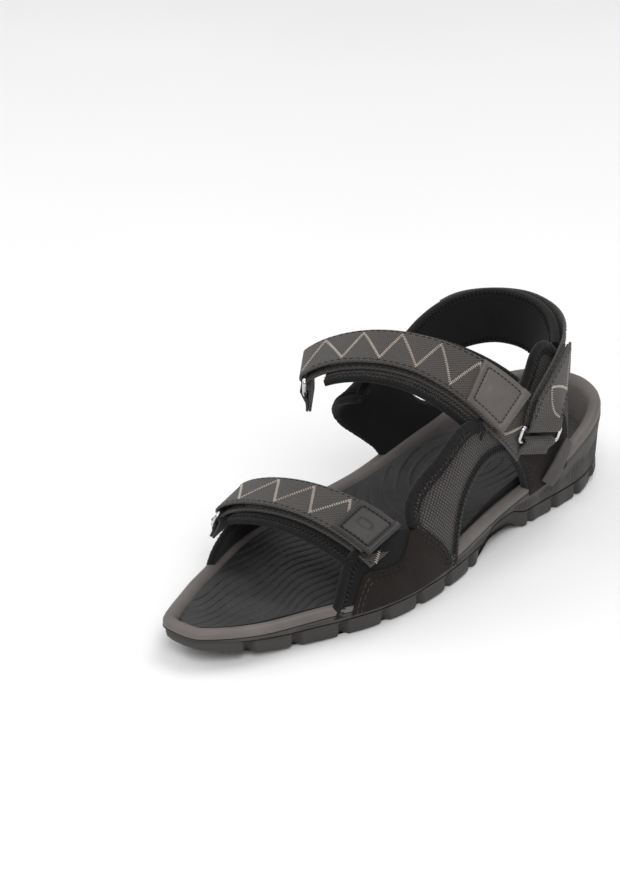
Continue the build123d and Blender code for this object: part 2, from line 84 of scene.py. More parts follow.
# ---------------------------------------------------------------- curves
def smooth_table(rows):
    """Smooth curve through (y, value) rows that does not overshoot them, as a function of an array."""
    ys, vs = (np.array(c, float) for c in zip(*rows))
    chords = np.diff(vs) / np.diff(ys)
    product, total = chords[:-1] * chords[1:], chords[:-1] + chords[1:]
    inner = np.where(product > 0, 2 * product / np.where(total == 0, 1, total), 0)
    slopes = np.concatenate([chords[:1], inner, chords[-1:]])

    def value(y):
        y = np.clip(np.asarray(y, float), ys[0], ys[-1])
        i = np.clip(np.searchsorted(ys, y) - 1, 0, len(ys) - 2)
        h = ys[i + 1] - ys[i]
        t = (y - ys[i]) / h
        return ((2 * t**3 - 3 * t**2 + 1) * vs[i] + (t**3 - 2 * t**2 + t) * h * slopes[i]
                + (3 * t**2 - 2 * t**3) * vs[i + 1] + (t**3 - t**2) * h * slopes[i + 1])

    return value


ground, feather_l, feather_m, seat, crown, roundness = (
    smooth_table(t) for t in (GROUND, FEATHER_LATERAL, FEATHER_MEDIAL, SEAT, CROWN, ROUNDNESS))
side_l, side_m = smooth_table(LATERAL_SIDE), smooth_table(MEDIAL_SIDE)


def lengths(p):
    """Distance along a polyline at each of its points."""
    return np.concatenate([[0], np.cumsum(np.linalg.norm(np.diff(p, axis=0), axis=1))])


def resample(points, step=None, count=None, closed=False):
    """Points at even spacing along a polyline."""
    p = np.asarray(points, float)
    if closed:
        p = np.vstack([p, p[:1]])
    s = lengths(p)
    n = count or max(2, int(round(s[-1] / step)) + 1)
    at = np.linspace(0, s[-1], n + 1)[:-1] if closed else np.linspace(0, s[-1], n)
    return np.stack([np.interp(at, s, p[:, k]) for k in range(p.shape[1])], 1)


def catmull(points, closed=False, per=16):
    """Smooth curve through points."""
    p = np.asarray(points, float)
    n = len(p)
    if closed:
        ext = np.vstack([p[-1:], p, p[:2]])
    else:
        ext = np.vstack([2 * p[:1] - p[1:2], p, 2 * p[-1:] - p[-2:-1]])
    out = []
    for i in range(n if closed else n - 1):
        a, b, c, d = ext[i:i + 4]
        ta, tb, tc = (max(np.linalg.norm(v)**0.5, 1e-6) for v in (b - a, c - b, d - c))
        m1 = ((b - a) / ta - (c - a) / (ta + tb) + (c - b) / tb) * tb
        m2 = ((c - b) / tb - (d - b) / (tb + tc) + (d - c) / tc) * tb
        t = (np.arange(per) / per)[:, None]
        out.append((2 * t**3 - 3 * t**2 + 1) * b + (t**3 - 2 * t**2 + t) * m1 + (3 * t**2 - 2 * t**3) * c
                   + (t**3 - t**2) * m2)
    if not closed:
        out.append(p[-1:])
    return np.vstack(out)


def unit(v):
    return v / np.maximum(np.linalg.norm(v, axis=-1, keepdims=True), 1e-9)


def tangents(p, closed=False):
    if closed:
        return unit(np.roll(p, -1, 0) - np.roll(p, 1, 0))
    return unit(np.gradient(p, axis=0))


class Route:
    """A strap's path: frames (point, along, across, outward) by share, 0 to 1."""

    def __init__(self, points, outward):
        self.points = points
        self.along = tangents(points)
        self.outward = unit(outward - self.along * (outward * self.along).sum(1, keepdims=True))
        self.across = np.cross(self.along, self.outward)
        self.share = np.linspace(0, 1, len(points))
        self.length = np.linalg.norm(np.diff(points, axis=0), axis=1).sum()

    def frames(self, share):
        share = np.asarray(share, float)
        return [np.stack([np.interp(share, self.share, f[:, k]) for k in range(3)], -1)
                for f in (self.points, self.along, self.across, self.outward)]

    def at(self, share, a=0.0, level=0.0):
        p, _, across, out = self.frames(share)
        return p + across * np.asarray(a)[..., None] + out * np.asarray(level)[..., None]


def arch_route(start, end, rise, squareness, leans):
    """Strap over the foot; leans are the directions across it at its start, middle and end."""
    t = np.linspace(0, 1, ROUTE_POINTS)
    e = np.clip(t, 0.0015, 0.9985)
    start, end, leans = np.array(start, float), np.array(end, float), np.array(leans, float)
    p = start + (end - start) * t[:, None]
    p[:, 2] += rise * np.sin(math.pi * t)**squareness
    q = start + (end - start) * e[:, None]
    q[:, 2] += rise * np.sin(math.pi * e)**squareness
    lean = np.where(t[:, None] < 0.5, leans[0] + (leans[1] - leans[0]) * (t[:, None] * 2),
                    leans[1] + (leans[2] - leans[1]) * (t[:, None] * 2 - 1))
    along = tangents(q)
    return Route(p, np.cross(lean, along))


def heel_route(points):
    """Strap round the heel that faces away from an upright axis."""
    p = resample(catmull(points), count=ROUTE_POINTS)
    radial = p - np.array(HEEL_AXIS)
    radial[:, 2] = 0
    return Route(p, radial)


FOREFOOT = arch_route((46, -56, 24), (-43, -69, 31), 17.0, 0.5,
                      [(-.1, .95, .25), (-.25, .96, .1), (-.3, .95, 0)])
INSTEP = arch_route((46, 38, 56), (-41, -20, 82), 26.0, 0.6,
                    [(-.1, .8, .6), (-.5, .82, .25), (-.62, .78, 0)])
HEEL = heel_route([(-38.5, 83, 79), (-32.5, 95, 83), (-20, 105, 85), (-4, 109, 86), (12, 106, 85),
                   (24, 98, 83.5), (31.5, 88, 81), (36.5, 77, 77), (39.5, 67, 71), (40.5, 60, 64), (40.6, 57.5, 56)])
COLLAR = heel_route([(-39, 46, 59), (-39.5, 60, 67), (-37, 75, 75), (-31, 89, 81), (-19, 101, 84),
                     (-4, 105, 84), (10, 102, 82), (20, 95, 79), (28.5, 86, 75)])


# ---------------------------------------------------------------- meshes
def build(name, verts, faces, body, material, nodes=(), uv=None, solid=True):
    """Mesh object from millimetre points, riding on a body and standing for CAD nodes."""
    data = bpy.data.meshes.new(name)
    data.from_pydata((np.asarray(verts) * MM).tolist(), [], [list(map(int, f)) for f in faces])
    if uv is not None:
        layer = data.uv_layers.new(name="UVMap")
        loops = np.zeros(len(data.loops), int)
        data.loops.foreach_get("vertex_index", loops)
        layer.data.foreach_set("uv", np.asarray(uv, float)[loops].ravel())
    data.materials.append(material)
    if solid:
        work = bmesh.new()
        work.from_mesh(data)
        bmesh.ops.recalc_face_normals(work, faces=work.faces)
        work.to_mesh(data)
        work.free()
    data.polygons.foreach_set("use_smooth", [True] * len(data.polygons))
    data.set_sharp_from_angle(angle=SHARP)
    data.update()
    obj = bpy.data.objects.new(name, data)
    bpy.context.collection.objects.link(obj)
    if body:
        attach(obj, body)
    if nodes:
        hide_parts(*nodes)
    return obj


def loft(rings, closed_path=False, caps=True):
    """Faces between rings (n, m, 3) of closed sections."""
    n, m = len(rings), len(rings[0])
    faces = []
    for i in range(n if closed_path else n - 1):
        a, b = i * m, (i + 1) % n * m
        faces += [(a + j, a + (j + 1) % m, b + (j + 1) % m, b + j) for j in range(m)]
    if caps and not closed_path:
        faces += [tuple(range(m))[::-1], tuple(range((n - 1) * m, n * m))]
    return np.asarray(rings).reshape(-1, 3), faces


def strip_section(width, low, high, corner=0.45, flats=6, crown=0.0, pinch=0.0):
    """Rounded flat section, as (across, level) points; crown swells the middle, pinch thins the edges."""
    half = width / 2
    a = np.linspace(-half + corner, half - corner, flats)
    bend = crown * (1 - (a / half)**2)
    arc = np.linspace(-math.pi / 2, math.pi / 2, 6)[1:-1]
    mid, r = (low + high) / 2, (high - low) / 2 - pinch
    bottom = np.stack([a, low + pinch - bend * 0.5], 1)
    right = np.stack([half - corner + corner * np.cos(arc), mid + r * np.sin(arc)], 1)
    top = np.stack([a[::-1], high - pinch + bend[::-1]], 1)
    left = np.stack([-half + corner - corner * np.cos(arc), mid - r * np.sin(arc)], 1)
    return np.vstack([bottom, right, top, left])


def ribbon(name, frames, section, body, material, nodes=()):
    """Strip that follows frames; section is one (across, level) outline or one for each frame."""
    p, along, across, out = frames
    section = np.broadcast_to(section, (len(p),) + np.shape(section)[-2:])
    rings = p[:, None] + across[:, None] * section[..., :1] + out[:, None] * section[..., 1:]
    verts, faces = loft(rings)
    run = lengths(p)
    around = np.cumsum(np.linalg.norm(np.diff(section[0], axis=0, prepend=section[0][-1:]), axis=1))
    uv = np.stack(np.broadcast_arrays(around[None, :], run[:, None]), -1).reshape(-1, 2)
    return build(name, verts, faces, body, material, nodes, uv)


def tube_piece(name, points, normals, rx, ry, body, material, closed=False, nodes=(), slot=None, sides=10):
    """Elliptic tube along points: rx along the surface, ry along its normals."""
    p = np.asarray(points, float)
    t = tangents(p, closed)
    n = unit(normals - t * (normals * t).sum(1, keepdims=True))
    b = np.cross(t, n)
    ang = np.linspace(0, 2 * math.pi, sides, endpoint=False)
    rx = np.broadcast_to(rx, len(p))[:, None, None]
    ry = np.broadcast_to(ry, len(p))[:, None, None]
    rings = (p[:, None] + b[:, None] * (rx * np.cos(ang)[None, :, None])
             + n[:, None] * (ry * np.sin(ang)[None, :, None]))
    verts, faces = loft(rings, closed)
    run = np.arange(len(points)) * np.linalg.norm(np.diff(points, axis=0), axis=1).mean()
    uv = np.stack(np.broadcast_arrays(np.linspace(0, 6, sides)[None, :], run[:, None]), -1).reshape(-1, 2)
    return build(name, verts, faces, body, material, nodes, uv)


def pick(at, s, values):
    """Row of three values at a distance along a path."""
    return np.array([np.interp(at, s, values[:, k]) for k in range(3)])


ZIGZAG_THREAD = 0.22


class Threads:
    """Collects stitches of one thread and body, then makes one piece of them."""

    def __init__(self):
        self.verts, self.faces, self.count = [], [], 0

    def one(self, a, b, normal, radius, lift):
        """Stitch from a to b: goes in at both ends and rises by lift in between."""
        a, b, normal = np.asarray(a), np.asarray(b), np.asarray(normal)
        d = unit(b - a)
        side = np.cross(d, normal)
        spots = [(0.0, -0.5), (0.14, 0.55), (0.5, 1.0), (0.86, 0.55), (1.0, -0.5)]
        ang = np.linspace(0, 2 * math.pi, 6, endpoint=False)
        for t, h in spots:
            c = a + (b - a) * t + normal * (lift * h)
            r = radius * (0.6 if h < 0 else 1.0)
            self.verts.append(c + r * (np.cos(ang)[:, None] * side + np.sin(ang)[:, None] * normal))
        k = self.count
        for i in range(k, k + 24, 6):
            self.faces += [(i + j, i + (j + 1) % 6, i + 6 + (j + 1) % 6, i + 6 + j) for j in range(6)]
        self.faces += [tuple(range(k + 5, k - 1, -1)), tuple(range(k + 24, k + 30))]
        self.count += 30

    def line(self, points, normals, length=2.4, gap=0.9, radius=0.26, lift=0.28):
        """Running stitch along a path."""
        p, normals = np.asarray(points, float), np.asarray(normals, float)
        s = lengths(p)
        n = max(1, int(s[-1] / (length + gap)))
        for i in range(n):
            a = (i + 0.15) * s[-1] / n
            b = a + s[-1] / n * length / (length + gap)
            self.one(pick(a, s, p), pick(min(b, s[-1]), s, p), unit(pick((a + b) / 2, s, normals)), radius, lift)

    def satin(self, points, normals, width, pitch, radius, lift, slant):
        """Short cross stitches packed along a path, as embroidery or an overlocked edge."""
        p, normals = np.asarray(points, float), np.asarray(normals, float)
        s = lengths(p)
        n = max(1, int(s[-1] / pitch))
        t = tangents(p)
        for i in range(n):
            at = (i + 0.5) * s[-1] / n
            c, d, nn = pick(at, s, p), unit(pick(at, s, t)), unit(pick(at, s, normals))
            cross = unit(np.cross(nn, d) + d * slant)
            self.one(c - cross * width / 2, c + cross * width / 2, nn, radius, lift)

    def zigzag(self, points, normals, width, pitch):
        """Zigzag row along a path."""
        p, normals = resample(points, step=pitch / 2), np.asarray(normals, float)
        old, new = np.linspace(0, 1, len(normals)), np.linspace(0, 1, len(p))
        n = np.stack([np.interp(new, old, normals[:, k]) for k in range(3)], 1)
        side = np.cross(n, tangents(p))
        z = p + side * (width / 2 * np.where(np.arange(len(p)) % 2 == 0, 1, -1))[:, None]
        for i in range(len(z) - 1):
            self.one(z[i], z[i + 1], unit(n[i]), ZIGZAG_THREAD, ZIGZAG_THREAD)

    def make(self, name, body, material, slot):
        build(name, np.vstack(self.verts), self.faces, body, material, ())


# ---------------------------------------------------------------- materials
class Nodes:
    """Short way to write a node material."""

    def __init__(self, name, roughness=0.8, **sockets):
        self.mat = bpy.data.materials.new(name)
        self.mat.use_nodes = True
        self.tree = self.mat.node_tree
        self.bsdf = self.tree.nodes["Principled BSDF"]
        self.bsdf.inputs["Roughness"].default_value = roughness
        for key, value in sockets.items():
            self.bsdf.inputs[key.replace("_", " ")].default_value = value
        self.bump_from = None

    def add(self, kind, links=None, **values):
        node = self.tree.nodes.new(kind)
        for key, value in values.items():
            if hasattr(node, key) and key not in node.inputs:
                setattr(node, key, value)
            else:
                node.inputs[key].default_value = value
        for key, source in (links or {}).items():
            self.tree.links.new(source, node.inputs[key])
        return node

    def coords(self, kind="UV", turn=0.0):
        out = self.add("ShaderNodeTexCoord").outputs[kind]
        m = self.add("ShaderNodeMapping", {"Vector": out})
        m.inputs["Rotation"].default_value = (0, 0, turn)
        return m.outputs["Vector"]

    def wave(self, vector, scale, distortion, direction="X"):
        w = self.add("ShaderNodeTexWave", {"Vector": vector}, wave_type="BANDS", bands_direction=direction,
                     wave_profile="SIN")
        w.inputs["Scale"].default_value = scale
        w.inputs["Distortion"].default_value = distortion
        w.inputs["Detail"].default_value = 0.0
        return w.outputs["Fac"]

    def noise(self, vector, scale, detail=3.0, rough=0.55):
        n = self.add("ShaderNodeTexNoise", {"Vector": vector})
        n.inputs["Scale"].default_value = scale
        n.inputs["Detail"].default_value = detail
        n.inputs["Roughness"].default_value = rough
        return n.outputs["Fac"]

    def math(self, op, a, b):
        m = self.add("ShaderNodeMath", operation=op)
        for i, v in enumerate((a, b)):
            if isinstance(v, (int, float)):
                m.inputs[i].default_value = v
            else:
                self.tree.links.new(v, m.inputs[i])
        return m.outputs[0]

    def ramp(self, fac, stops):
        r = self.add("ShaderNodeValToRGB", {"Fac": fac})
        while len(r.color_ramp.elements) < len(stops):
            r.color_ramp.elements.new(0.5)
        for e, (pos, col) in zip(r.color_ramp.elements, stops):
            e.position = pos
            e.color = (*srgb(col), 1)
        return r.outputs["Color"]

    def color(self, source):
        self.tree.links.new(source, self.bsdf.inputs["Base Color"])

    def rough(self, source):
        self.tree.links.new(source, self.bsdf.inputs["Roughness"])

    def bump(self, height, distance):
        b = self.add("ShaderNodeBump", {"Height": height})
        b.inputs["Distance"].default_value = distance
        b.inputs["Strength"].default_value = 1.0
        if self.bump_from:
            self.tree.links.new(self.bump_from, b.inputs["Normal"])
        self.bump_from = b.outputs["Normal"]
        self.tree.links.new(self.bump_from, self.bsdf.inputs["Normal"])


def srgb(c):
    """Linear colour of an 8-bit one."""
    return tuple(x / 12.92 if x <= 0.04045 else ((x + 0.055) / 1.055)**2.4 for x in (v / 255 for v in c))


def webbing_material(name, light, dark):
    """Twill tape: fine diagonal ribs crossed by yarns, a little uneven, with sheen."""
    n = Nodes(name, 0.78, Sheen_Weight=0.12, Sheen_Roughness=0.5)
    uv = n.coords("UV")
    turned = n.coords("UV", turn=math.radians(38))
    ribs = n.wave(turned, 0.26, 0.5)
    yarns = n.wave(uv, 0.36, 0.4, direction="Y")
    weave = n.math("ADD", n.math("MULTIPLY", ribs, 0.6), n.math("MULTIPLY", yarns, 0.4))
    cloud = n.noise(n.coords("Object"), 90, 3)
    fleck = n.noise(uv, 2.2, 2)
    tone = n.math("ADD", n.math("MULTIPLY", weave, 0.6),
                  n.math("ADD", n.math("MULTIPLY", cloud, 0.22), n.math("MULTIPLY", fleck, 0.22)))
    n.color(n.ramp(tone, [(0.2, dark), (0.78, light)]))
    n.bump(weave, 0.00028)
    n.bump(fleck, 0.00012)
    return n.mat


def mesh_material(name, light, dark):
    """Coarse spacer mesh: rounded knots in offset rows with dark holes between."""
    n = Nodes(name, 0.85, Sheen_Weight=0.1, Sheen_Roughness=0.5)
    a = n.wave(n.coords("UV", turn=math.radians(45)), 0.235, 0.35, direction="X")
    b = n.wave(n.coords("UV", turn=math.radians(45)), 0.235, 0.35, direction="Y")
    knots = n.math("MULTIPLY", a, b)
    fibre = n.noise(n.coords("UV"), 3.0, 3)
    cloud = n.noise(n.coords("Object"), 70, 2)
    tone = n.math("ADD", n.math("MULTIPLY", knots, 0.62),
                  n.math("ADD", n.math("MULTIPLY", fibre, 0.24), n.math("MULTIPLY", cloud, 0.14)))
    middle = tuple((x + y) // 2 for x, y in zip(light, dark))
    n.color(n.ramp(tone, [(0.16, dark), (0.42, middle), (0.8, light)]))
    n.bump(knots, 0.0006)
    n.bump(fibre, 0.00015)
    return n.mat


def nap_material(name, light, dark, grain=900, bump=0.00018, sheen=0.5, rough=0.9, cloud_scale=60):
    """Suede, lining or neoprene: soft cloudy tone with a fine nap."""
    n = Nodes(name, rough, Sheen_Weight=sheen, Sheen_Roughness=0.55)
    n.bsdf.inputs["Specular IOR Level"].default_value = 0.2
    obj = n.coords("Object")
    cloud = n.noise(obj, cloud_scale, 4, 0.6)
    nap = n.noise(obj, grain, 3, 0.7)
    tone = n.math("ADD", n.math("MULTIPLY", cloud, 0.6), n.math("MULTIPLY", nap, 0.4))
    n.color(n.ramp(tone, [(0.33, dark), (0.66, light)]))
    n.bump(nap, bump)
    n.bump(cloud, bump * 1.5)
    return n.mat


def moulded_material(name, light, dark, rough=0.62, grain=1500, bump=0.00006, spec=0.35):
    """Moulded rubber or foam: fine pebble, slight scuffing in tone and gloss."""
    n = Nodes(name, rough)
    n.bsdf.inputs["Specular IOR Level"].default_value = spec
    obj = n.coords("Object")
    cloud = n.noise(obj, 45, 4, 0.6)
    fine = n.noise(obj, grain, 2)
    tone = n.math("ADD", n.math("MULTIPLY", cloud, 0.7), n.math("MULTIPLY", fine, 0.3))
    n.color(n.ramp(tone, [(0.3, dark), (0.7, light)]))
    n.rough(n.math("ADD", n.math("MULTIPLY", cloud, 0.25), rough - 0.12))
    n.bump(fine, bump)
    return n.mat


WEBBING = webbing_material("twill_webbing", (77, 72, 68), (24, 22, 20))
MESH = mesh_material("coarse_mesh", (104, 96, 92), (20, 19, 18))
SUEDE = nap_material("brown_suede", (36, 29, 26), (19, 15, 13), 1100, 0.00016, 0.04)
NEOPRENE = nap_material("black_neoprene", (26, 25, 25), (14, 13, 13), 1400, 0.00012, 0.06)
BINDING = nap_material("knit_binding", (25, 23, 23), (9, 8, 8), 1700, 0.0003, 0.1)
LINING = nap_material("smooth_lining", (25, 25, 27), (15, 15, 16), 1500, 0.00006, 0.06, 0.75, 35)
PILE = nap_material("loop_pile", (30, 28, 27), (12, 11, 11), 2200, 0.0006, 0.3)
THREAD = nap_material("beige_thread", (196, 184, 172), (150, 139, 130), 2500, 0.00005, 0.3, 0.7)
DARK_THREAD = nap_material("dark_thread", (20, 19, 19), (9, 8, 8), 2500, 0.00005, 0.1, 0.7)
GREY_THREAD = nap_material("grey_thread", (72, 67, 64), (46, 43, 41), 2500, 0.00005, 0.1, 0.7)
RUBBER = moulded_material("outsole_rubber", (68, 65, 64), (50, 47, 46), 0.6)
FOAM = moulded_material("midsole_foam", (84, 80, 79), (64, 61, 60), 0.66)
RIM = moulded_material("rim_foam", (110, 104, 101), (86, 81, 79), 0.5, 2200, 0.00003, 0.4)
FOOTBED = moulded_material("footbed_foam", (58, 57, 58), (36, 35, 36), 0.55, 1800, 0.00005, 0.4)
TPU = moulded_material("tab_plastic", (96, 90, 86), (78, 73, 70), 0.5, 1200, 0.00004, 0.45)
TPU_DARK = moulded_material("tab_plastic_dark", (50, 47, 46), (36, 34, 33), 0.5, 1200, 0.00004, 0.45)


def metal_material():
    n = Nodes("ring_steel", 0.22, Metallic=1.0)
    scratch = n.noise(n.coords("Object"), 700, 2)
    n.color(n.ramp(scratch, [(0.3, (176, 176, 180)), (0.7, (224, 224, 227))]))
    n.rough(n.math("ADD", n.math("MULTIPLY", scratch, 0.2), 0.12))
    return n.mat


STEEL = metal_material()


# ---------------------------------------------------------------- sole
def outline(count=960):
    """Sole outline, starting at the toe and running down the lateral side."""
    pts = [(v, y) for y, v in LATERAL_SIDE] + [(v, y) for y, v in reversed(MEDIAL_SIDE)]
    p = resample(catmull(pts, closed=True), count=count, closed=True)
    for _ in range(6):
        p = (np.roll(p, 1, 0) + 2 * p + np.roll(p, -1, 0)) / 4
    return p


BASE = outline()
BASE_T = tangents(BASE, True)
INWARD = np.stack([-BASE_T[:, 1], BASE_T[:, 0]], 1)
if (BASE * INWARD).sum() > 0:
    INWARD = -INWARD
BASE_X, BASE_Y = BASE[:, 0], BASE[:, 1]
SHARE = np.clip((BASE_X - side_m(BASE_Y)) / (side_l(BASE_Y) - side_m(BASE_Y)), 0, 1)
RUN = lengths(BASE)
FEATHER = feather_m(BASE_Y) + (feather_l(BASE_Y) - feather_m(BASE_Y)) * SHARE
GROUND_Z = ground(BASE_Y)
PARTING_Z = GROUND_Z + np.minimum(8.0, (FEATHER - GROUND_Z) * 0.52)
LUG_PITCH = 22
LUG_YS = (-127, -105, -83, -61, -39, -17, 5, 62, 82, 102, 120.0)
NOTCH = 3.2
ARCH_MIDDLE = 34
SCALLOP = np.abs(np.sin((BASE_Y - 5) / LUG_PITCH * math.pi))**0.7


def ring_at(inset, z):
    """Closed ring of sole points at an inset and height, both arrays over the outline."""
    xy = BASE + INWARD * np.broadcast_to(inset, len(BASE))[:, None]
    return np.column_stack([xy, np.broadcast_to(z, len(BASE))])


def plate(ring, columns=10):
    """Extra points and faces across a closed outline ring, rung by rung from toe to heel."""
    n = len(ring)
    half = n // 2
    share = np.linspace(0, 1, columns)[None, :, None]
    left, right = ring[:half + 1], ring[-np.arange(half + 1)]
    grid = left[:, None] + (right - left)[:, None] * share
    verts = grid[:, 1:-1].reshape(-1, 3)
    inner = n + np.arange(len(verts)).reshape(half + 1, columns - 2)
    index = np.column_stack([np.arange(half + 1), inner, (-np.arange(half + 1)) % n])
    faces = []
    for i in range(half):
        for j in range(columns - 1):
            quad = [int(v) for v in (index[i, j], index[i, j + 1], index[i + 1, j + 1], index[i + 1, j])]
            if len(set(quad)) == 4:
                faces.append(tuple(quad))
    return verts, faces


def bump01(x):
    """Smooth hump, 1 in the middle and 0 from -1 and 1 outwards."""
    return np.clip(1 - x * x, 0, None)**2


def lug_profile():
    """0 in a notch between two lugs and 1 on a lug, over the outline."""
    lug = np.ones(len(BASE))
    for centre in LUG_YS:
        lug -= bump01((BASE_Y - centre) / NOTCH)
    arch = np.clip((np.abs(BASE_Y - ARCH_MIDDLE) - 16) / 8, 0, 1)
    return np.clip(lug, 0, 1) * arch


LUG = lug_profile()


def closed_stack(rows):
    """Rings lofted into a side wall, with a plate across the first and the last."""
    verts, faces = loft(rows, False, caps=False)
    n = len(rows[0])
    for ring in (0, len(rows) - 1):
        more, plates = plate(rows[ring])
        shift = np.arange(n + len(more))
        shift[:n] += ring * n
        shift[n:] += len(verts) - n
        faces = faces + [tuple(int(shift[i]) for i in f) for f in plates]
        verts = np.vstack([verts, more])
    return verts, faces


def midsole_ribs(wall):
    """Fine upright ribs round the midsole's band, left out on the medial arch."""
    verts, faces = [], []
    for s in np.arange(0, RUN[-1], 1.5):
        i = int(np.searchsorted(RUN, s)) % len(BASE)
        z0, z1 = PARTING_Z[i] + 1.1, PARTING_Z[i] + 0.3 + wall[i] * 0.78
        if (12 < BASE_Y[i] < 58 and BASE_X[i] < 0) or z1 - z0 < 1.5:
            continue
        count = len(verts)
        t3 = np.append(BASE_T[i], 0)
        o3 = np.append(-INWARD[i], 0)
        for z, inset in ((z0, 1.55), ((z0 + z1) / 2, 1.15), (z1, 0.75)):
            c = np.array([*(BASE[i] + INWARD[i] * inset), z])
            verts += [c - t3 * 0.42 - o3 * 1.2, c - t3 * 0.3 + o3 * 0.12, c + t3 * 0.3 + o3 * 0.12,
                      c + t3 * 0.42 - o3 * 1.2]
        for k in (count, count + 4):
            faces += [(k + j, k + (j + 1) % 4, k + 4 + (j + 1) % 4, k + 4 + j) for j in range(4)]
        faces += [(count + 3, count + 2, count + 1, count), (count + 8, count + 9, count + 10, count + 11)]
    build("midsole_ribs", verts, faces, ROOT, FOAM, ())


def sole_pieces():
    top_z = FEATHER - RIM_SEAT
    heel = np.clip((BASE_Y - 70) / 60, 0, 1)
    # outsole: from the underside out, up the lugs and the side wall, and in over the top
    rows = [ring_at(6.0, GROUND_Z), ring_at(4.2, GROUND_Z)]
    for h, out in ((0.0, 0.6), (0.8, 1.4), (2.4, 1.9), (4.4, 1.8), (6.2, 1.2)):
        swell = LUG * out * (0.55 + 0.45 * SCALLOP)
        notch = (1 - LUG) * (2.8 + 2.4 * heel) * (1 - h / 9)
        rows.append(ring_at(2.9 - swell + notch, GROUND_Z + h))
    rows.append(ring_at(1.5, PARTING_Z))
    rows.append(ring_at(4.2, PARTING_Z + 0.1))
    verts, faces = closed_stack(rows)
    build("outsole_lugs", verts, faces, ROOT, RUBBER, ("outsole",))

    # midsole: hatched band, then a thin line under the smooth rim
    wall = top_z - PARTING_Z
    rows = [ring_at(6, PARTING_Z + 0.3), ring_at(3.2, PARTING_Z + 0.3)]
    waves = 0.4 + 0.6 * np.abs(np.sin(BASE_Y / LUG_PITCH * math.pi))
    for t, inset in ((0.04, 1.6), (0.1, 1.3), (0.45, 0.9), (0.8, 0.35), (0.86, 0.1), (0.9, 0.0), (0.96, 0.05),
                     (1.0, 0.5)):
        scoop = 1.1 * bump01((t - 0.35) / 0.5) * waves
        rows.append(ring_at(inset + scoop * (1 - heel * 0.5) * 0.6, PARTING_Z + 0.3 + wall * t))
    rows.append(ring_at(2.0, top_z + 0.1))
    rows.append(ring_at(6.0, np.minimum(top_z, seat(BASE_Y) - 4.2)))
    verts, faces = closed_stack(rows)
    build("midsole_wall", verts, faces, ROOT, FOAM, ("midsole",))

    midsole_ribs(wall)

    # rim: stands on the wall's edge, rounded over to the footbed
    rise = RIM_RISE + 0.8 * heel
    rows = [ring_at(0.9, top_z + 0.3), ring_at(0.15, top_z + 0.9), ring_at(0.1, FEATHER - 0.6),
            ring_at(0.8, FEATHER + rise - 0.7), ring_at(2.0, FEATHER + rise), ring_at(3.6, FEATHER + rise),
            ring_at(5.0, FEATHER + rise - 0.5), ring_at(6.2, FEATHER + rise - 1.6),
            ring_at(7.4, np.minimum(FEATHER + rise - 3, FEATHER - 2)),
            ring_at(8.2 + heel * 2, seat(BASE_Y) - 0.6), ring_at(8.2 + heel * 2, seat(BASE_Y) - 3),
            ring_at(3.0, top_z - 0.5)]
    verts, faces = loft(np.array(rows).transpose(1, 0, 2), True)
    build("rim_band", verts, faces, ROOT, RIM, ("footbed_rim",))


def heel_horn():
    """Short lug that leans up the lateral side of the heel."""
    n = 40
    line = resample(catmull([(39, 70, 20), (40.5, 75, 27), (41.3, 80, 34), (40.8, 85, 38)]), count=n)
    share = np.linspace(0, 1, n)
    thick = 2.3 * np.sin(math.pi * (0.1 + 0.85 * share))**0.4
    tube_piece("heel_horn", line, np.tile((1.0, 0, 0.1), (n, 1)), 5.2 - 1.6 * share, thick, ROOT, FOAM,
               slot="midsole_foam", sides=24)


def footbed_piece():
    """Grooved footbed: lengthwise waves at the front, nested U curves behind, ribbed heel."""
    nv, nu = 420, 116
    ring = ring_at(7.6, 0)
    half = len(ring) // 2
    first, second = ring[:half + 1], ring[-np.arange(half + 1)]
    tiny = np.arange(half + 1) * 1e-6
    first_y, second_y = (np.maximum.accumulate(side[:, 1]) + tiny for side in (first, second))
    v = np.linspace(max(first_y[0], second_y[0]) + 0.2, min(first_y[-1], second_y[-1]) - 0.2, nv)
    u = np.linspace(-1, 1, nu)
    y = np.repeat(v[:, None], nu, 1)
    lo = np.interp(v, second_y, second[:, 0])[:, None]
    hi = np.interp(v, first_y, first[:, 0])[:, None]
    x = (lo + hi) / 2 + (hi - lo) / 2 * u[None, :]
    z = seat(y)
    edge = np.clip(np.abs(u)[None, :], 0, 1)
    z = z + (0.8 + 2.4 * np.clip((y + 60) / 120, 0, 1)) * edge**5
    wavy = x + 2.6 * np.sin(y / 15) + 1.2 * np.sin(y / 6.5 + x / 9)
    front = np.abs(np.sin(wavy / 4.6 * math.pi))
    r = np.hypot(x - 2, (y - 62) * 0.62)
    nested = np.abs(np.sin(r / 5.2 * math.pi))
    behind = np.abs(np.sin(y / 3.0 * math.pi))
    w_front = np.clip((-8 - y) / 16, 0, 1)
    w_back = np.clip((y - 88) / 10, 0, 1)
    groove = front * w_front + behind * 0.6 * w_back + nested * (1 - w_front - w_back)
    cut = (1 - np.clip(groove / 0.42, 0, 1))**1.5
    fade = np.clip((1 - edge) / 0.06, 0, 1)
    z = z - 0.85 * cut * fade
    top = np.stack([x, y, z], -1).reshape(-1, 3)
    low = top.copy()
    low[:, 2] = seat(top[:, 1]) - 3.4
    n = len(top)
    idx = np.arange(n).reshape(nv, nu)
    a, b, c, d = idx[:-1, :-1], idx[:-1, 1:], idx[1:, 1:], idx[1:, :-1]
    quads = np.stack([a, b, c, d], -1).reshape(-1, 4)
    faces = quads.tolist() + (quads[:, ::-1] + n).tolist()
    rim = np.concatenate([idx[0, :-1], idx[:-1, -1], idx[-1, :0:-1], idx[:0:-1, 0]])
    for i, j in zip(rim, np.roll(rim, -1)):
        faces.append((int(i), int(i + n), int(j + n), int(j)))
    build("footbed_top", np.vstack([top, low]), faces, ROOT, FOOTBED, ("footbed",))


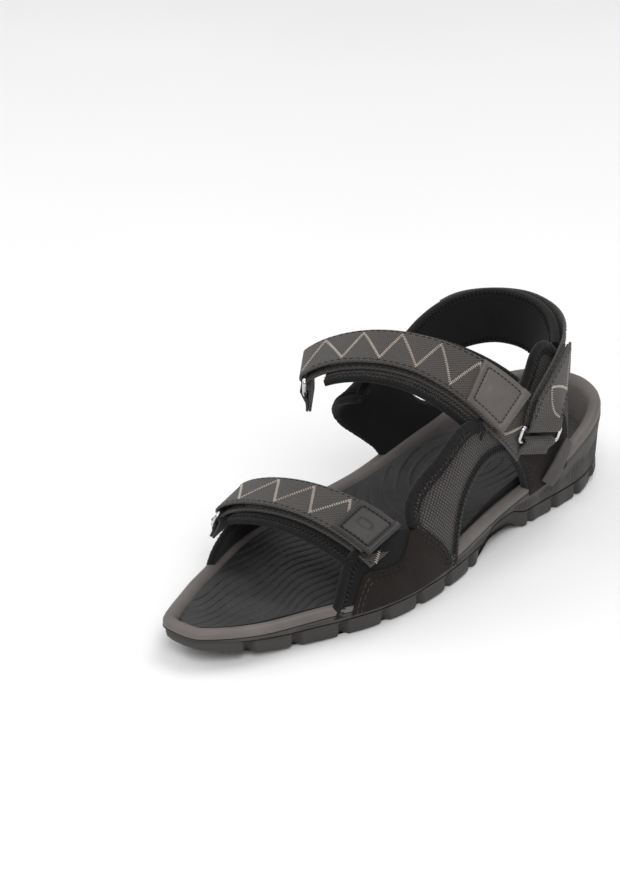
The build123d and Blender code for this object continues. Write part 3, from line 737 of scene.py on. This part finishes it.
sole_pieces()
heel_horn()
footbed_piece()


# ---------------------------------------------------------------- the surface that the upper follows
def ledge_z(y, side):
    """Height of the ledge that the upper stands on; side is 1 on the lateral side and -1 on the medial."""
    end = feather_l(y) if side > 0 else feather_m(y)
    return end - RIM_SEAT + 0.1


def wall_x(y, z, side):
    base = ledge_z(y, side)
    rise = crown(y) - base
    edge = (side_l(y) if side > 0 else -side_m(y)) - LEDGE + WALL_GAP
    s = np.clip((z - base) / rise, 0, 0.985)**(1 / roundness(y))
    return side * edge * np.sqrt(1 - s * s)**roundness(y)


def wall_point(yz, side, grow=0.0):
    """(point, outward normal) on the upper's surface for side-view points."""
    y, z = yz[..., 0], yz[..., 1]
    x = wall_x(y, z, side)
    dy = (wall_x(y + 0.5, z, side) - wall_x(y - 0.5, z, side))
    dz = (wall_x(y, z + 0.5, side) - wall_x(y, z - 0.5, side))
    n = unit(np.stack([np.ones_like(x), -dy, -dz], -1)) * side
    return np.stack([x, y, z], -1) + n * np.asarray(grow)[..., None], n


def chaikin(p):
    """Closed outline with its corners cut three times."""
    for _ in range(3):
        q = np.roll(p, -1, 0)
        p = np.stack([0.75 * p + 0.25 * q, 0.25 * p + 0.75 * q], 1).reshape(-1, 2)
    return p


def inside(points, poly):
    """Which points lie inside a closed outline."""
    x, y = points[:, 0], points[:, 1]
    hit = np.zeros(len(points), bool)
    px, py = poly[:, 0], poly[:, 1]
    qx, qy = np.roll(px, -1), np.roll(py, -1)
    for i in range(len(poly)):
        cross = (py[i] > y) != (qy[i] > y)
        with np.errstate(divide="ignore", invalid="ignore"):
            hit ^= cross & (x < (qx[i] - px[i]) * (y - py[i]) / (qy[i] - py[i]) + px[i])
    return hit


def edge_distance(points, loops):
    """Distance of each point to the nearest of closed outlines."""
    best = np.full(len(points), 1e9)
    for loop in loops:
        a, b = loop, np.roll(loop, -1, 0)
        for i in range(len(a)):
            d = b[i] - a[i]
            t = np.clip(((points - a[i]) @ d) / max(d @ d, 1e-9), 0, 1)
            best = np.minimum(best, np.linalg.norm(points - a[i] - t[:, None] * d, axis=1))
    return best


def settle(loop, side):
    """Outline points kept just below the top of the ledge."""
    loop = loop.copy()
    loop[:, 1] = np.maximum(loop[:, 1], ledge_z(loop[:, 0], side) - 1.2)
    return loop


class Panel:
    """Padded sheet on one side of the foot with a given side-view outline."""

    def __init__(self, name, edge, side, low, high, material, node, slot, window=None, soft=3.0, thin=0.55,
                 step=1.9):
        self.side, self.low, self.high = side, low, high
        loops = [settle(resample(chaikin(np.array(e, float)), step=1.3, closed=True), side)
                 for e in (edge, window) if e is not None]
        self.loops = loops
        rim = loops[0]
        lo, hi = rim.min(0), rim.max(0)
        ys = np.arange(lo[0], hi[0], step)
        zs = np.arange(lo[1], hi[1], step * 0.87)
        gy, gz = np.meshgrid(ys, zs)
        gy = gy + (np.arange(len(zs)) % 2)[:, None] * step / 2
        grid = np.stack([gy, gz], -1).reshape(-1, 2)
        keep = inside(grid, rim) & (edge_distance(grid, loops) > step * 0.55)
        if window is not None:
            keep &= ~inside(grid, loops[1])
        pts = np.vstack(loops + [grid[keep]])
        edges, at = [], 0
        for loop in loops:
            edges += [(at + i, at + (i + 1) % len(loop)) for i in range(len(loop))]
            at += len(loop)
        out = delaunay_2d_cdt([Vector(p) for p in pts], edges, [], 0, 1e-5)
        flat = np.array([tuple(v) for v in out[0]])
        tris = np.array([f for f in out[2] if len(f) == 3])
        mid = flat[tris].mean(1)
        ok = inside(mid, rim)
        if window is not None:
            ok &= ~inside(mid, loops[1])
        tris = tris[ok]
        d = edge_distance(flat, loops)
        d = np.where(flat[:, 1] < ledge_z(flat[:, 0], side) + 2, np.maximum(d, 2.0), d)
        swell = 1 - np.exp(-d / soft)
        middle = (low + high) / 2
        half = (high - low) / 2
        front = middle + half * (thin + (1 - thin) * swell)
        back = middle - half * (thin + (1 - thin) * swell)
        both = np.vstack([wall_point(flat, side, level)[0] for level in (front, back)])
        n = len(flat)
        use = {(t[i], t[(i + 1) % 3]): True for t in tris.tolist() for i in range(3)}
        faces = tris.tolist() + (tris[:, ::-1] + n).tolist()
        faces += [(j, i, i + n, j + n) for i, j in use if (j, i) not in use]
        used = np.unique(np.concatenate([np.ravel(f) for f in faces]))
        remap = -np.ones(2 * n, int)
        remap[used] = np.arange(len(used))
        faces = [[int(remap[i]) for i in f] for f in faces]
        uv = np.vstack([flat, flat])[used]
        self.obj = build(name, both[used], faces, ROOT, material, (node,), uv)

    def path(self, start, end, inset=0.0, level=None, loop=0, step=1.2):
        """Points and normals at a level along an outline between the points nearest start and end.

        The rim is followed the short way and the window the long way.
        """
        ring = self.loops[loop]
        i = int(np.argmin(np.linalg.norm(ring - np.array(start), axis=1)))
        j = int(np.argmin(np.linalg.norm(ring - np.array(end), axis=1)))
        n = len(ring)
        way = [(i + k) % n for k in range((j - i) % n + 1)]
        other = [(i - k) % n for k in range((i - j) % n + 1)]
        way = way if (len(way) <= len(other)) == (loop == 0) else other
        p = ring[way]
        for _ in range(2):
            p[1:-1] = (p[:-2] + 2 * p[1:-1] + p[2:]) / 4
        t = tangents(p)
        nrm = np.stack([-t[:, 1], t[:, 0]], 1)
        test = p[len(p) // 2] + nrm[len(p) // 2] * 1.5
        on_panel = inside(test[None], self.loops[0])[0] and (loop == 0 or not inside(test[None], ring)[0])
        sign = 1 if on_panel else -1
        q = resample(p + nrm * sign * inset, step=step)
        return wall_point(q, self.side, np.full(len(q), self.high if level is None else level))


SEAM = {"length": 1.8, "gap": 0.8, "radius": 0.2, "lift": 0.2}
SUEDE_SEAM = {"length": 2.0, "gap": 0.8, "radius": 0.22, "lift": 0.2}
OVERLOCK = {"pitch": 2.1, "radius": 0.34, "slant": 0.12}
BINDING_IN = 0.9
dark, grey, beige = Threads(), Threads(), Threads()


def binding(name, panel, start, end, loop=0, rx=2.6):
    """Piping folded over part of a panel's edge, overlocked with dark thread."""
    pts, nrm = panel.path(start, end, BINDING_IN, (panel.low + panel.high) / 2, loop)
    ry = (panel.high - panel.low) / 2 + 0.4
    over = panel.path(start, end, BINDING_IN + 1.5, panel.high + 0.12, loop)
    dark.satin(*over, width=3.4, lift=0.4, **OVERLOCK)
    wobble = 1 + 0.035 * np.sin(np.arange(len(pts)) * 1.9) + 0.02 * rng.standard_normal(len(pts))
    tube_piece(name, pts, nrm, rx * wobble, ry * wobble, ROOT, BINDING, slot="neoprene")


# ---- lateral quarter with its arch window
QUARTER = [(-15.6, 6), (-23.6, 21), (-33.6, 31), (-41, 38), (-37, 47), (-27, 54), (-14, 60), (-4, 66),
           (6, 70), (16, 70), (26, 70), (36, 70), (44, 70), (50, 73), (57, 80), (63, 89), (70, 92),
           (78, 88), (84, 78), (88, 62), (90, 48), (91, 6)]
WINDOW = [(-12, -4), (-12, 24), (-5, 40), (8, 49), (24, 52), (41, 46), (53, 32), (58, 17), (60, -4)]
quarter = Panel("quarter_mesh", QUARTER, 1, 1.0, 4.2, MESH, "quarter_lateral", "mesh", WINDOW, soft=4.0)
Panel("quarter_inner", QUARTER, 1, 0.1, 0.9, LINING, "quarter_lateral_lining", "lining", WINDOW, step=3)
THROAT, ANKLE = ((-41, 38), (20, 70)), ((44, 70), (84, 78))
FRONT, ARCH = ((-17, 12), (-41, 38)), ((-12, 10), (58, 14))
binding("quarter_throat_binding", quarter, *THROAT)
binding("quarter_ankle_binding", quarter, *ANKLE)
binding("quarter_front_binding", quarter, *FRONT, rx=1.5)
binding("quarter_window_binding", quarter, *ARCH, loop=1, rx=2.9)
for (start, end), loop in ((THROAT, 0), (ANKLE, 0), (ARCH, 1)):
    dark.zigzag(*quarter.path(start, end, 3.9, loop=loop), 1.7, 1.5)
for (start, end), loop in ((ARCH, 1), (THROAT, 0)):
    grey.line(*quarter.path(start, end, 5.6, loop=loop), **SEAM)
dark.line(*quarter.path(*FRONT, 3.4), **SEAM)

# ---- suede behind the window
REAR_SUEDE = [(59, 7), (57, 25), (49, 39), (43, 48), (46, 55), (54, 60), (66, 60), (78, 57), (88, 50),
              (89, 7)]
rear = Panel("rear_suede_overlay", REAR_SUEDE, 1, 4.0, 5.0, SUEDE, "rear_suede", "suede", soft=1.2, thin=0.8)
for inset in (1.6, 3.4):
    dark.line(*rear.path((57, 20), (46, 55), inset), 1.9, 0.8, 0.22, 0.2)
grey.line(*rear.path((48, 57), (86, 51), 1.8), 1.9, 0.8, 0.2, 0.2)

# ---- lateral vamp: neoprene front band under a suede overlay that is cut away below the strap's end
VAMP = [(-87, 6), (-85.5, 16), (-81, 25), (-75, 32), (-66, 36), (-50, 38), (-41.5, 39), (-34.4, 31),
        (-24.4, 21), (-16.4, 6)]
VAMP_SUEDE = [(-79, 6), (-77.5, 16), (-73, 24), (-69, 27), (-62, 26), (-53, 26), (-47, 31), (-41, 38.5),
              (-32, 34), (-22, 24), (-13, 7)]
vamp = Panel("vamp_neoprene", VAMP, 1, 1.0, 4.0, NEOPRENE, "vamp_lateral", "neoprene")
binding("vamp_front_binding", vamp, (-87, 8), (-68, 35), rx=2.4)
suede = Panel("vamp_suede_overlay", VAMP_SUEDE, 1, 3.9, 4.9, SUEDE, "vamp_suede_lateral", "suede", soft=1.2,
              thin=0.8)
for inset in (1.8, 3.8):
    grey.line(*suede.path((-79, 8), (-70, 27), inset), 2.1, 0.9, 0.24, 0.22)
    dark.line(*suede.path((-36, 37), (-15, 9), inset), **SUEDE_SEAM)
for inset in (1.5, 3.3):
    dark.line(*suede.path((-68, 27), (-48, 30), inset), 2.0, 0.8, 0.26, 0.24)

# ---- medial vamp
MEDIAL_VAMP = [(-94, 7), (-92, 17), (-84, 25), (-76, 31), (-60, 33), (-48, 31), (-34, 23), (-26, 7)]
MEDIAL_MESH = [(-76, 10), (-74, 19), (-69, 25), (-60, 27), (-51, 24), (-44, 16), (-41, 10)]
vamp_m = Panel("medial_vamp_suede", MEDIAL_VAMP, -1, 1.0, 3.6, SUEDE, "vamp_medial", "suede", soft=2.0)
mesh_m = Panel("medial_vamp_mesh", MEDIAL_MESH, -1, 3.3, 4.2, MESH, "vamp_mesh_medial", "mesh", soft=1.2, thin=0.7)
Panel("medial_vamp_inner", MEDIAL_VAMP, -1, 0.1, 0.9, LINING, "vamp_medial_lining", "lining", step=3)
binding("medial_vamp_front_binding", vamp_m, (-94, 9), (-76, 31), rx=1.6)
binding("medial_vamp_rear_binding", vamp_m, (-48, 31), (-27, 9), rx=1.6)
for inset in (3.4, 5.2):
    grey.line(*vamp_m.path((-94, 9), (-76, 31), inset), **SUEDE_SEAM)
dark.line(*mesh_m.path((-76, 11), (-41, 11), -1.2), 1.8, 0.8, 0.22, 0.2)

# ---- medial quarter, with a crossed box of stitches on its inner wall
MEDIAL_QUARTER = [(40, 6), (36, 27), (20, 41), (4, 53), (-6, 65), (-11, 74), (-8, 82), (2, 85), (14, 84),
                  (30, 80), (41, 74), (46, 64), (54, 52), (66, 42), (84, 36), (86, 6)]
quarter_m = Panel("medial_quarter_outer", MEDIAL_QUARTER, -1, 1.0, 3.9, NEOPRENE, "quarter_medial", "neoprene",
                  soft=3.5)
Panel("medial_quarter_inner", MEDIAL_QUARTER, -1, 0.0, 0.9, LINING, "quarter_medial_lining", "lining", step=3)
binding("medial_quarter_front_binding", quarter_m, (38, 12), (2, 85))
binding("medial_quarter_rear_binding", quarter_m, (30, 80), (85, 14))
for inset in (3.8, 5.6):
    dark.line(*quarter_m.path((38, 12), (-11, 74), inset), **SUEDE_SEAM)
dark.zigzag(*quarter_m.path((46, 64), (85, 14), 3.8), 1.6, 1.5)
corners = np.array([(-4, 70), (12, 72), (11, 81), (-5, 79)], float)
for i, j in ((0, 1), (1, 2), (2, 3), (3, 0), (0, 2), (1, 3)):
    way = corners[i] + (corners[j] - corners[i]) * np.linspace(0, 1, 12)[:, None]
    pts, nrm = wall_point(way, -1, np.full(12, -0.08))
    grey.line(pts, -nrm, 1.7, 0.7, 0.2, 0.2)


# ---------------------------------------------------------------- straps
EDGE_STITCH = {"length": 2.0, "gap": 1.0, "radius": 0.2, "lift": 0.16}
EMBROIDERY = {"width": 1.5, "pitch": 1.2, "radius": 0.27, "lift": 0.26, "slant": 0.35}
EDGE_IN = 1.6  # from the webbing's edge to its stitches
LIE = 0.02  # embroidery lies this far above the webbing
FOLD_SHARE = 0.035  # the flat layers end this far before the ring bar
FOLD_HALF, FOLD_LOW = 0.63, 0.675
BAR_WRAP = 1.98
KEEPER_LENGTH = {"forefoot": 9.0, "instep": 10.0, "heel": 7.0}
PAD_LOW, PAD_HIGH = -3.1, -0.2


def row(route, share, off, level):
    """Points and normals along a route, off its middle and at a level."""
    return route.at(share, off, level), route.frames(share)[3]


def swing(count, amplitude):
    """Offsets that change sides at each corner of a zigzag."""
    return amplitude * np.where(np.arange(count) % 2 == 0, 1, -1)


def zigzag_path(route, shares, offsets, level, per, trim=False):
    """Points and normals of a zigzag with corners at shares and offsets; trim keeps each corner once."""
    last = len(shares) - 2
    legs = []
    for i in range(last + 1):
        t = np.linspace(0, 1, per)[:-1 if trim and i < last else None]
        legs.append(row(route, shares[i] + (shares[i + 1] - shares[i]) * t,
                        offsets[i] + (offsets[i + 1] - offsets[i]) * t, level))
    return [np.vstack(part) for part in zip(*legs)]


def corner_shares(route, start, end, pitch):
    """Shares of the corners of a zigzag with about this pitch."""
    n = int(round((end - start) * route.length / pitch * 2))
    return start + (end - start) * np.arange(n + 1) / n


def pad(name, route, first, width, node, material, slot):
    """Padded band under a strap, thinned at its ends."""
    n = 90
    grow = np.clip(np.minimum(np.arange(n), np.arange(n)[::-1]) / 5, 0, 1)**0.5
    base = strip_section(width, PAD_LOW, PAD_HIGH, 1.3, 14, 0.0, 0.35)
    mid = (PAD_LOW + PAD_HIGH) / 2
    sections = [np.column_stack([base[:, 0], mid + (base[:, 1] - mid) * (0.35 + 0.65 * g)]) for g in grow]
    frames = route.frames(np.linspace(first / STEPS, PAD_END / STEPS, n))
    ribbon(name, frames, np.array(sections), ROOT, material, (node,))


def strap_tail(name, route, start, foot, section, sides):
    """End of the base webbing, from under the tab down to a side-view point on the quarter."""
    p0, _, _, o0 = route.frames(start + np.array([3.2, 2.4, 1.6]) / STEPS)
    end, o1 = wall_point(np.array(foot[:2], float)[None], 1, np.full(1, foot[2]))
    near = (p0[-1] * 0.45 + end[0] * 0.55) + unit(o0[-1] + o1[0]) * 1.0
    way = catmull(np.vstack([p0, near, end]), per=12)
    tail = Route(way, unit(o0[0] + (o1[0] - o0[0]) * np.linspace(0, 1, len(way))[:, None]**0.8))
    s = np.linspace(0, 1, 40)
    ribbon(name + "_tail_webbing", tail.frames(s), section, ROOT, WEBBING, ())
    for off in sides:
        dark.line(*row(tail, s, off, WEB), **EDGE_STITCH)
    corners, offsets = (0.0, 0.33, 0.66, 1.0), swing(4, 9.5)
    for i in range(3):
        leg = zigzag_path(tail, corners[i:i + 2], offsets[i:i + 2], WEB + LIE, 16)
        beige.satin(*leg, **EMBROIDERY)


def fold_and_ring(name, route, width, bar, hang):
    """Webbing folded round the ring bar, the bent-wire ring and the webbing that keeps it."""
    p, al, ac, ou = (v[0] for v in route.frames([bar]))
    centre = p + ou * BAR_LEVEL
    back = np.linspace(bar - FOLD_SHARE, bar, 10)
    low_run = route.at(back, 0.0, FOLD_LOW)
    top_run = route.at(back[::-1], 0.0, (FLAP_LOW + FLAP_TOP) / 2)
    ang = np.linspace(-math.pi / 2, math.pi / 2, 22)[1:-1]
    turn = centre + (BAR_LEVEL - FOLD_LOW) * (np.cos(ang)[:, None] * al + np.sin(ang)[:, None] * ou)
    path = np.vstack([low_run, turn, top_run])
    t = tangents(path)
    across = np.repeat(ac[None], len(path), 0)
    for k, share in enumerate(back):
        across[k] = route.frames([share])[2][0]
        across[-1 - k] = across[k]
    out = unit(np.cross(across, t))
    section = strip_section(width, -FOLD_HALF, FOLD_HALF, 0.5, 10)
    fold = ribbon(name + "_fold_webbing", (path, t, np.cross(t, out), out), section, None, WEBBING, ())
    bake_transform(fold)

    # ring: a rounded rectangle that hangs from the bar
    h = math.radians(hang)
    ral, rou = al * math.cos(h) - ou * math.sin(h), ou * math.cos(h) + al * math.sin(h)
    rx, ry, r = width / 2 + RING_MARGIN, RING_DEPTH / 2, 1.9
    loop = []
    for sx, sy, a0 in ((1, 1, 0), (-1, 1, 90), (-1, -1, 180), (1, -1, 270)):
        for a in np.radians(np.linspace(a0, a0 + 90, 7)):
            loop.append(((rx - r) * sx + r * math.cos(a), (ry - r) * sy + r * math.sin(a)))
    loop = resample(np.array(loop), count=110, closed=True)
    ring = centre + ral * ry + loop[:, :1] * ac + loop[:, 1:] * ral
    tube_piece(name + "_wire_ring", ring, np.repeat(rou[None], len(ring), 0), WIRE / 2, WIRE / 2, ROOT, STEEL,
               True, (name + "_ring",), "ring_steel", 14)

    # webbing round the far bar
    far = centre + ral * RING_DEPTH
    length = KEEPER_LENGTH[name]
    way = [far + ral * d - rou * BAR_WRAP for d in np.linspace(length, 0.3, 6)]
    way += [far + BAR_WRAP * (-math.cos(a) * rou - math.sin(a) * ral) for a in np.linspace(0, math.pi, 14)]
    way += [far + ral * d + rou * (BAR_WRAP - 2.6 * min(d / (length * 0.6), 1)) for d in np.linspace(0.3, length, 8)]
    way = np.array(way)
    t = tangents(way)
    out = unit(np.cross(np.repeat(ac[None], len(way), 0), t))
    node = name + ("_ring_anchor" if name == "heel" else "_ring_keeper")
    section = strip_section(width - 2, -0.6, 0.6, 0.45, 8)
    ribbon(name + "_keeper_webbing", (way, t, np.cross(t, out), out), section, ROOT, WEBBING, (node,))


def strap(name, route, width, base, flap, tape, tab, foot, zig, hang):
    """All layers of one strap.

    Spans are in steps of its route; foot is (y, z, level) where its base ends; zig is the flap's
    embroidery as (start, end, pitch, amplitude); hang is how far its ring turns down, in degrees.
    """
    body = name + "_flap"
    b0, f0, bar = base / STEPS, flap[0] / STEPS, flap[1] / STEPS
    fold_from = bar - FOLD_SHARE
    sides = (width / 2 - EDGE_IN, -width / 2 + EDGE_IN)
    section = strip_section(width, 0.05, WEB, 0.55, 10)
    ribbon(name + "_base_webbing", route.frames(np.linspace(b0, fold_from, 120)), section, ROOT, WEBBING,
           (name + "_strap_base",))
    tapes = route.frames(np.linspace(tape[0] / STEPS, tape[1] / STEPS, 90))
    ribbon(name + "_loop_pile", tapes, strip_section(width - 3, WEB, LOOP_TOP, 0.4, 8), ROOT, PILE,
           (name + "_loop_tape",))
    ribbon(name + "_hook_pile", tapes, strip_section(width - 3, HOOK_LOW, FLAP_LOW + 0.05, 0.4, 8), body, PILE,
           (name + "_hook_tape",))
    ribbon(name + "_flap_webbing", route.frames(np.linspace(f0, fold_from, 140)),
           strip_section(width, FLAP_LOW, FLAP_TOP, 0.55, 10, 0.12), body, WEBBING, (name + "_strap_flap",))
    if foot:
        strap_tail(name, route, b0, foot, section, sides)
    fold_and_ring(name, route, width, bar, hang)

    thread, edge_thread = Threads(), Threads()
    z0, z1, pitch, amplitude = zig
    shares = corner_shares(route, z0, z1, pitch)
    path = zigzag_path(route, shares, swing(len(shares), amplitude), FLAP_TOP + LIE, 14, True)
    thread.satin(*path, **EMBROIDERY)
    thread.make(name + "_embroidery", body, THREAD, "webbing")
    for off in sides:
        edge_thread.line(*row(route, np.linspace(f0 + 0.01, fold_from, 100), off, FLAP_TOP), **EDGE_STITCH)
        dark.line(*row(route, np.linspace(b0 + 0.004, fold_from, 100), off, WEB), **EDGE_STITCH)
    edge_thread.make(name + "_edge_stitches", body, DARK_THREAD, "webbing")
    if tab:
        shares = corner_shares(route, b0, tab[1] / STEPS, pitch)
        path = zigzag_path(route, shares, swing(len(shares), -amplitude), WEB + LIE, 12)
        beige.satin(*path, **EMBROIDERY)
        pull_tab(name, route, width, tab[0] / STEPS, tab[1] / STEPS, body)


def pull_tab(name, route, width, s0, s1, body):
    """Moulded tab over the flap's free end: a recessed field, a raised frame and a thick end wall."""
    w = width - 1.2
    nu, nv = 33, 46
    a = np.linspace(-w / 2, w / 2, nu)
    s = np.linspace(s0, s1, nv)
    length = (s1 - s0) * route.length
    from_end = (s - s0) * route.length
    low = FLAP_TOP + LIE
    height = np.full((nv, nu), low + 1.15)
    edge = np.minimum(w / 2 - np.abs(a)[None, :], np.minimum(from_end, length - from_end)[:, None])
    height += 0.55 * (1 - np.clip((edge - 1.6) / 0.5, 0, 1))
    height += 0.75 * (1 - np.clip((from_end - 2.6) / 0.7, 0, 1))[:, None]
    height -= 0.45 * bump01((edge - 3.1) / 0.5)
    height -= 0.9 * (1 - np.clip(edge / 0.7, 0, 1))**2
    bar = bump01((np.abs(a)[None, :] / 3.2)) * bump01((from_end[:, None] - length * 0.52) / 4.6)
    height += 0.5 * np.clip(bar * 3, 0, 1)
    rows = []
    for i in range(nv):
        top = route.at(np.full(nu, s[i]), a, height[i])
        bottom = route.at(np.full(2, s[i]), a[[-1, 0]], low)
        rows.append(np.vstack([top, bottom]))
    verts, faces = loft(rows)
    material = TPU_DARK if name == "forefoot" else TPU
    build(name + "_tab", verts, faces, body, material, (name + "_pull_tab",))
    stitch = Threads()
    k = 3.1
    ends, side = (s0 + k / route.length, s1 - k / route.length), w / 2 - k
    box = [(ends[0], -side), (ends[0], side), (ends[1], side), (ends[1], -side)]
    for (sa, aa), (sb, ab) in zip(box, box[1:] + box[:1]):
        t = np.linspace(0, 1, 30)
        stitch.line(*row(route, sa + (sb - sa) * t, aa + (ab - aa) * t, low + 0.95), 1.6, 0.5, 0.24, 0.2)
    stitch.make(name + "_tab_stitches", body, DARK_THREAD, "tab_tpu")


PAD_END = 25
FOREFOOT_PAD, INSTEP_PAD = (4, 38.0), (3, 40.0)  # first step and width
pad("forefoot_padding", FOREFOOT, *FOREFOOT_PAD, "vamp_pad", NEOPRENE, "neoprene")
pad("instep_padding", INSTEP, *INSTEP_PAD, "instep_pad", MESH, "mesh")
strap("forefoot", FOREFOOT, 26.0, 2, (4, 27), (4, 23), (3, 9), None, (0.16, 0.962, 20.0, 9.8), 25)
strap("instep", INSTEP, 28.0, 2, (3, 27), (3, 24), (2, 7), (53, 51, 4.6), (0.1, 0.962, 20.0, 10.8), 50)
strap("heel", HEEL, 24.0, 1, (20, 28), (20, 26), None, None, (0.72, 0.96, 19.0, 8.6), 10)

# pad bindings and stitches
for name, route, (first, width) in (("forefoot", FOREFOOT, FOREFOOT_PAD), ("instep", INSTEP, INSTEP_PAD)):
    s = np.linspace(first / STEPS, PAD_END / STEPS, 120)
    for end, sign in (("rear", -1), ("front", 1)):
        tube_piece(name + "_pad_binding_" + end, *row(route, s, sign * (width / 2 - 0.9), -1.65), 1.8, 1.6, ROOT,
                   BINDING, slot="neoprene")
        dark.zigzag(*row(route, s, sign * (width / 2 - 3.6), -0.35), 1.6, 1.6)
        dark.satin(*row(route, s, sign * (width / 2 - 1.5), -0.05), width=3.0, lift=0.4, **OVERLOCK)

# collar: padded band with smooth lining and two bindings
COLLAR_INSIDE = -2.55
s = np.linspace(0, 1, 150)
fc = COLLAR.frames(s)
collar = ribbon("collar_padding", fc, strip_section(27.0, -1.7, 1.7, 1.2, 14, 0.5, 0.3), ROOT, NEOPRENE,
                ("heel_collar",))
ribbon("collar_inner", fc, strip_section(23.5, -2.5, -1.6, 0.4, 12), ROOT, LINING, ("heel_collar_lining",))
for end, sign in (("lower", 1), ("upper", -1)):
    tube_piece("collar_binding_" + end, *row(COLLAR, s, sign * 12.8, 0.0), 1.6, 2.3, ROOT, BINDING,
               slot="neoprene")
    dark.zigzag(*row(COLLAR, s, sign * 10.6, 2.0), 1.6, 1.6)
    dark.satin(COLLAR.at(s, sign * 12.2, -2.4), -fc[3], width=2.8, lift=0.35, **OVERLOCK)
    dark.line(COLLAR.at(s, sign * 10.4, COLLAR_INSIDE), -fc[3], 1.8, 0.8, 0.2, 0.18)
for at in (0.52, 0.545):
    pts, nrm = row(COLLAR, np.full(12, at), np.linspace(-11, 11, 12), COLLAR_INSIDE)
    dark.line(pts, -nrm, 1.6, 0.7)

# zigzag on the heel strap's outside, all the way round
path = zigzag_path(HEEL, np.linspace(0.05, 0.7, 27), swing(27, 8.4), WEB + LIE, 10)
beige.satin(*path, **EMBROIDERY)

dark.make("dark_stitches", ROOT, DARK_THREAD, "neoprene")
grey.make("grey_stitches", ROOT, GREY_THREAD, "suede")
beige.make("beige_stitches", ROOT, THREAD, "webbing")

# the shank stays as it is, hidden in the sole
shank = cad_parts["arch_shank"].data
shank.materials.clear()
shank.materials.append(moulded_material("shank_plastic", (70, 70, 70), (52, 52, 52)))


# ---------------------------------------------------------------- stage, light, camera
def stage():
    """Pale floor, soft lights, and the camera at the product-shot angle."""
    n = 24
    xs = np.linspace(-1600, 1600, n)
    gx, gy = np.meshgrid(xs, xs)
    idx = np.arange(n * n).reshape(n, n)
    quads = np.stack([idx[:-1, :-1], idx[:-1, 1:], idx[1:, 1:], idx[1:, :-1]], -1).reshape(-1, 4)
    floor_mat = Nodes("pale_floor", 0.9)
    tone = floor_mat.noise(floor_mat.coords("Object"), 3, 2)
    floor_mat.color(floor_mat.ramp(tone, [(0.3, (244, 244, 244)), (0.7, (247, 247, 247))]))
    points = np.stack([gx, gy, np.full_like(gx, -0.3)], -1).reshape(-1, 3)
    floor = build("floor", points, quads.tolist(), None, floor_mat.mat, solid=False)
    world = bpy.data.worlds.new("studio")
    bpy.context.scene.world = world
    world.use_nodes = True
    world.node_tree.nodes["Background"].inputs["Color"].default_value = (1, 1, 1, 1)
    world.node_tree.nodes["Background"].inputs["Strength"].default_value = 0.6

    def light(name, place, size, power):
        lamp = bpy.data.lights.new(name, "AREA")
        lamp.size, lamp.energy = size, power
        obj = bpy.data.objects.new(name, lamp)
        bpy.context.collection.objects.link(obj)
        obj.location = place
        obj.rotation_mode = "QUATERNION"
        obj.rotation_quaternion = (Vector((0, 0, 0.04)) - Vector(place)).to_track_quat("-Z", "Y")

    light("key", (0.9, -0.9, 1.3), 0.9, 12)
    light("fill", (-1.2, -0.6, 0.9), 1.2, 5)
    light("top", (0.1, 0.6, 1.6), 1.0, 8)
    cam = bpy.data.cameras.new("camera")
    cam.sensor_width = 36
    cam.lens = 94.73
    cam.clip_start = 0.05
    view = bpy.data.objects.new("camera", cam)
    bpy.context.collection.objects.link(view)
    a, e = math.radians(40), math.radians(25)
    target = Vector((-0.0284, -0.0296, 0.0556))
    back = Vector((math.sin(a) * math.cos(e), -math.cos(a) * math.cos(e), math.sin(e)))
    view.location = target + back * 1.1
    view.rotation_mode = "QUATERNION"
    view.rotation_quaternion = (-back).to_track_quat("-Z", "Y")
    bpy.context.scene.camera = view
    bpy.context.scene.view_settings.view_transform = "Standard"


stage()
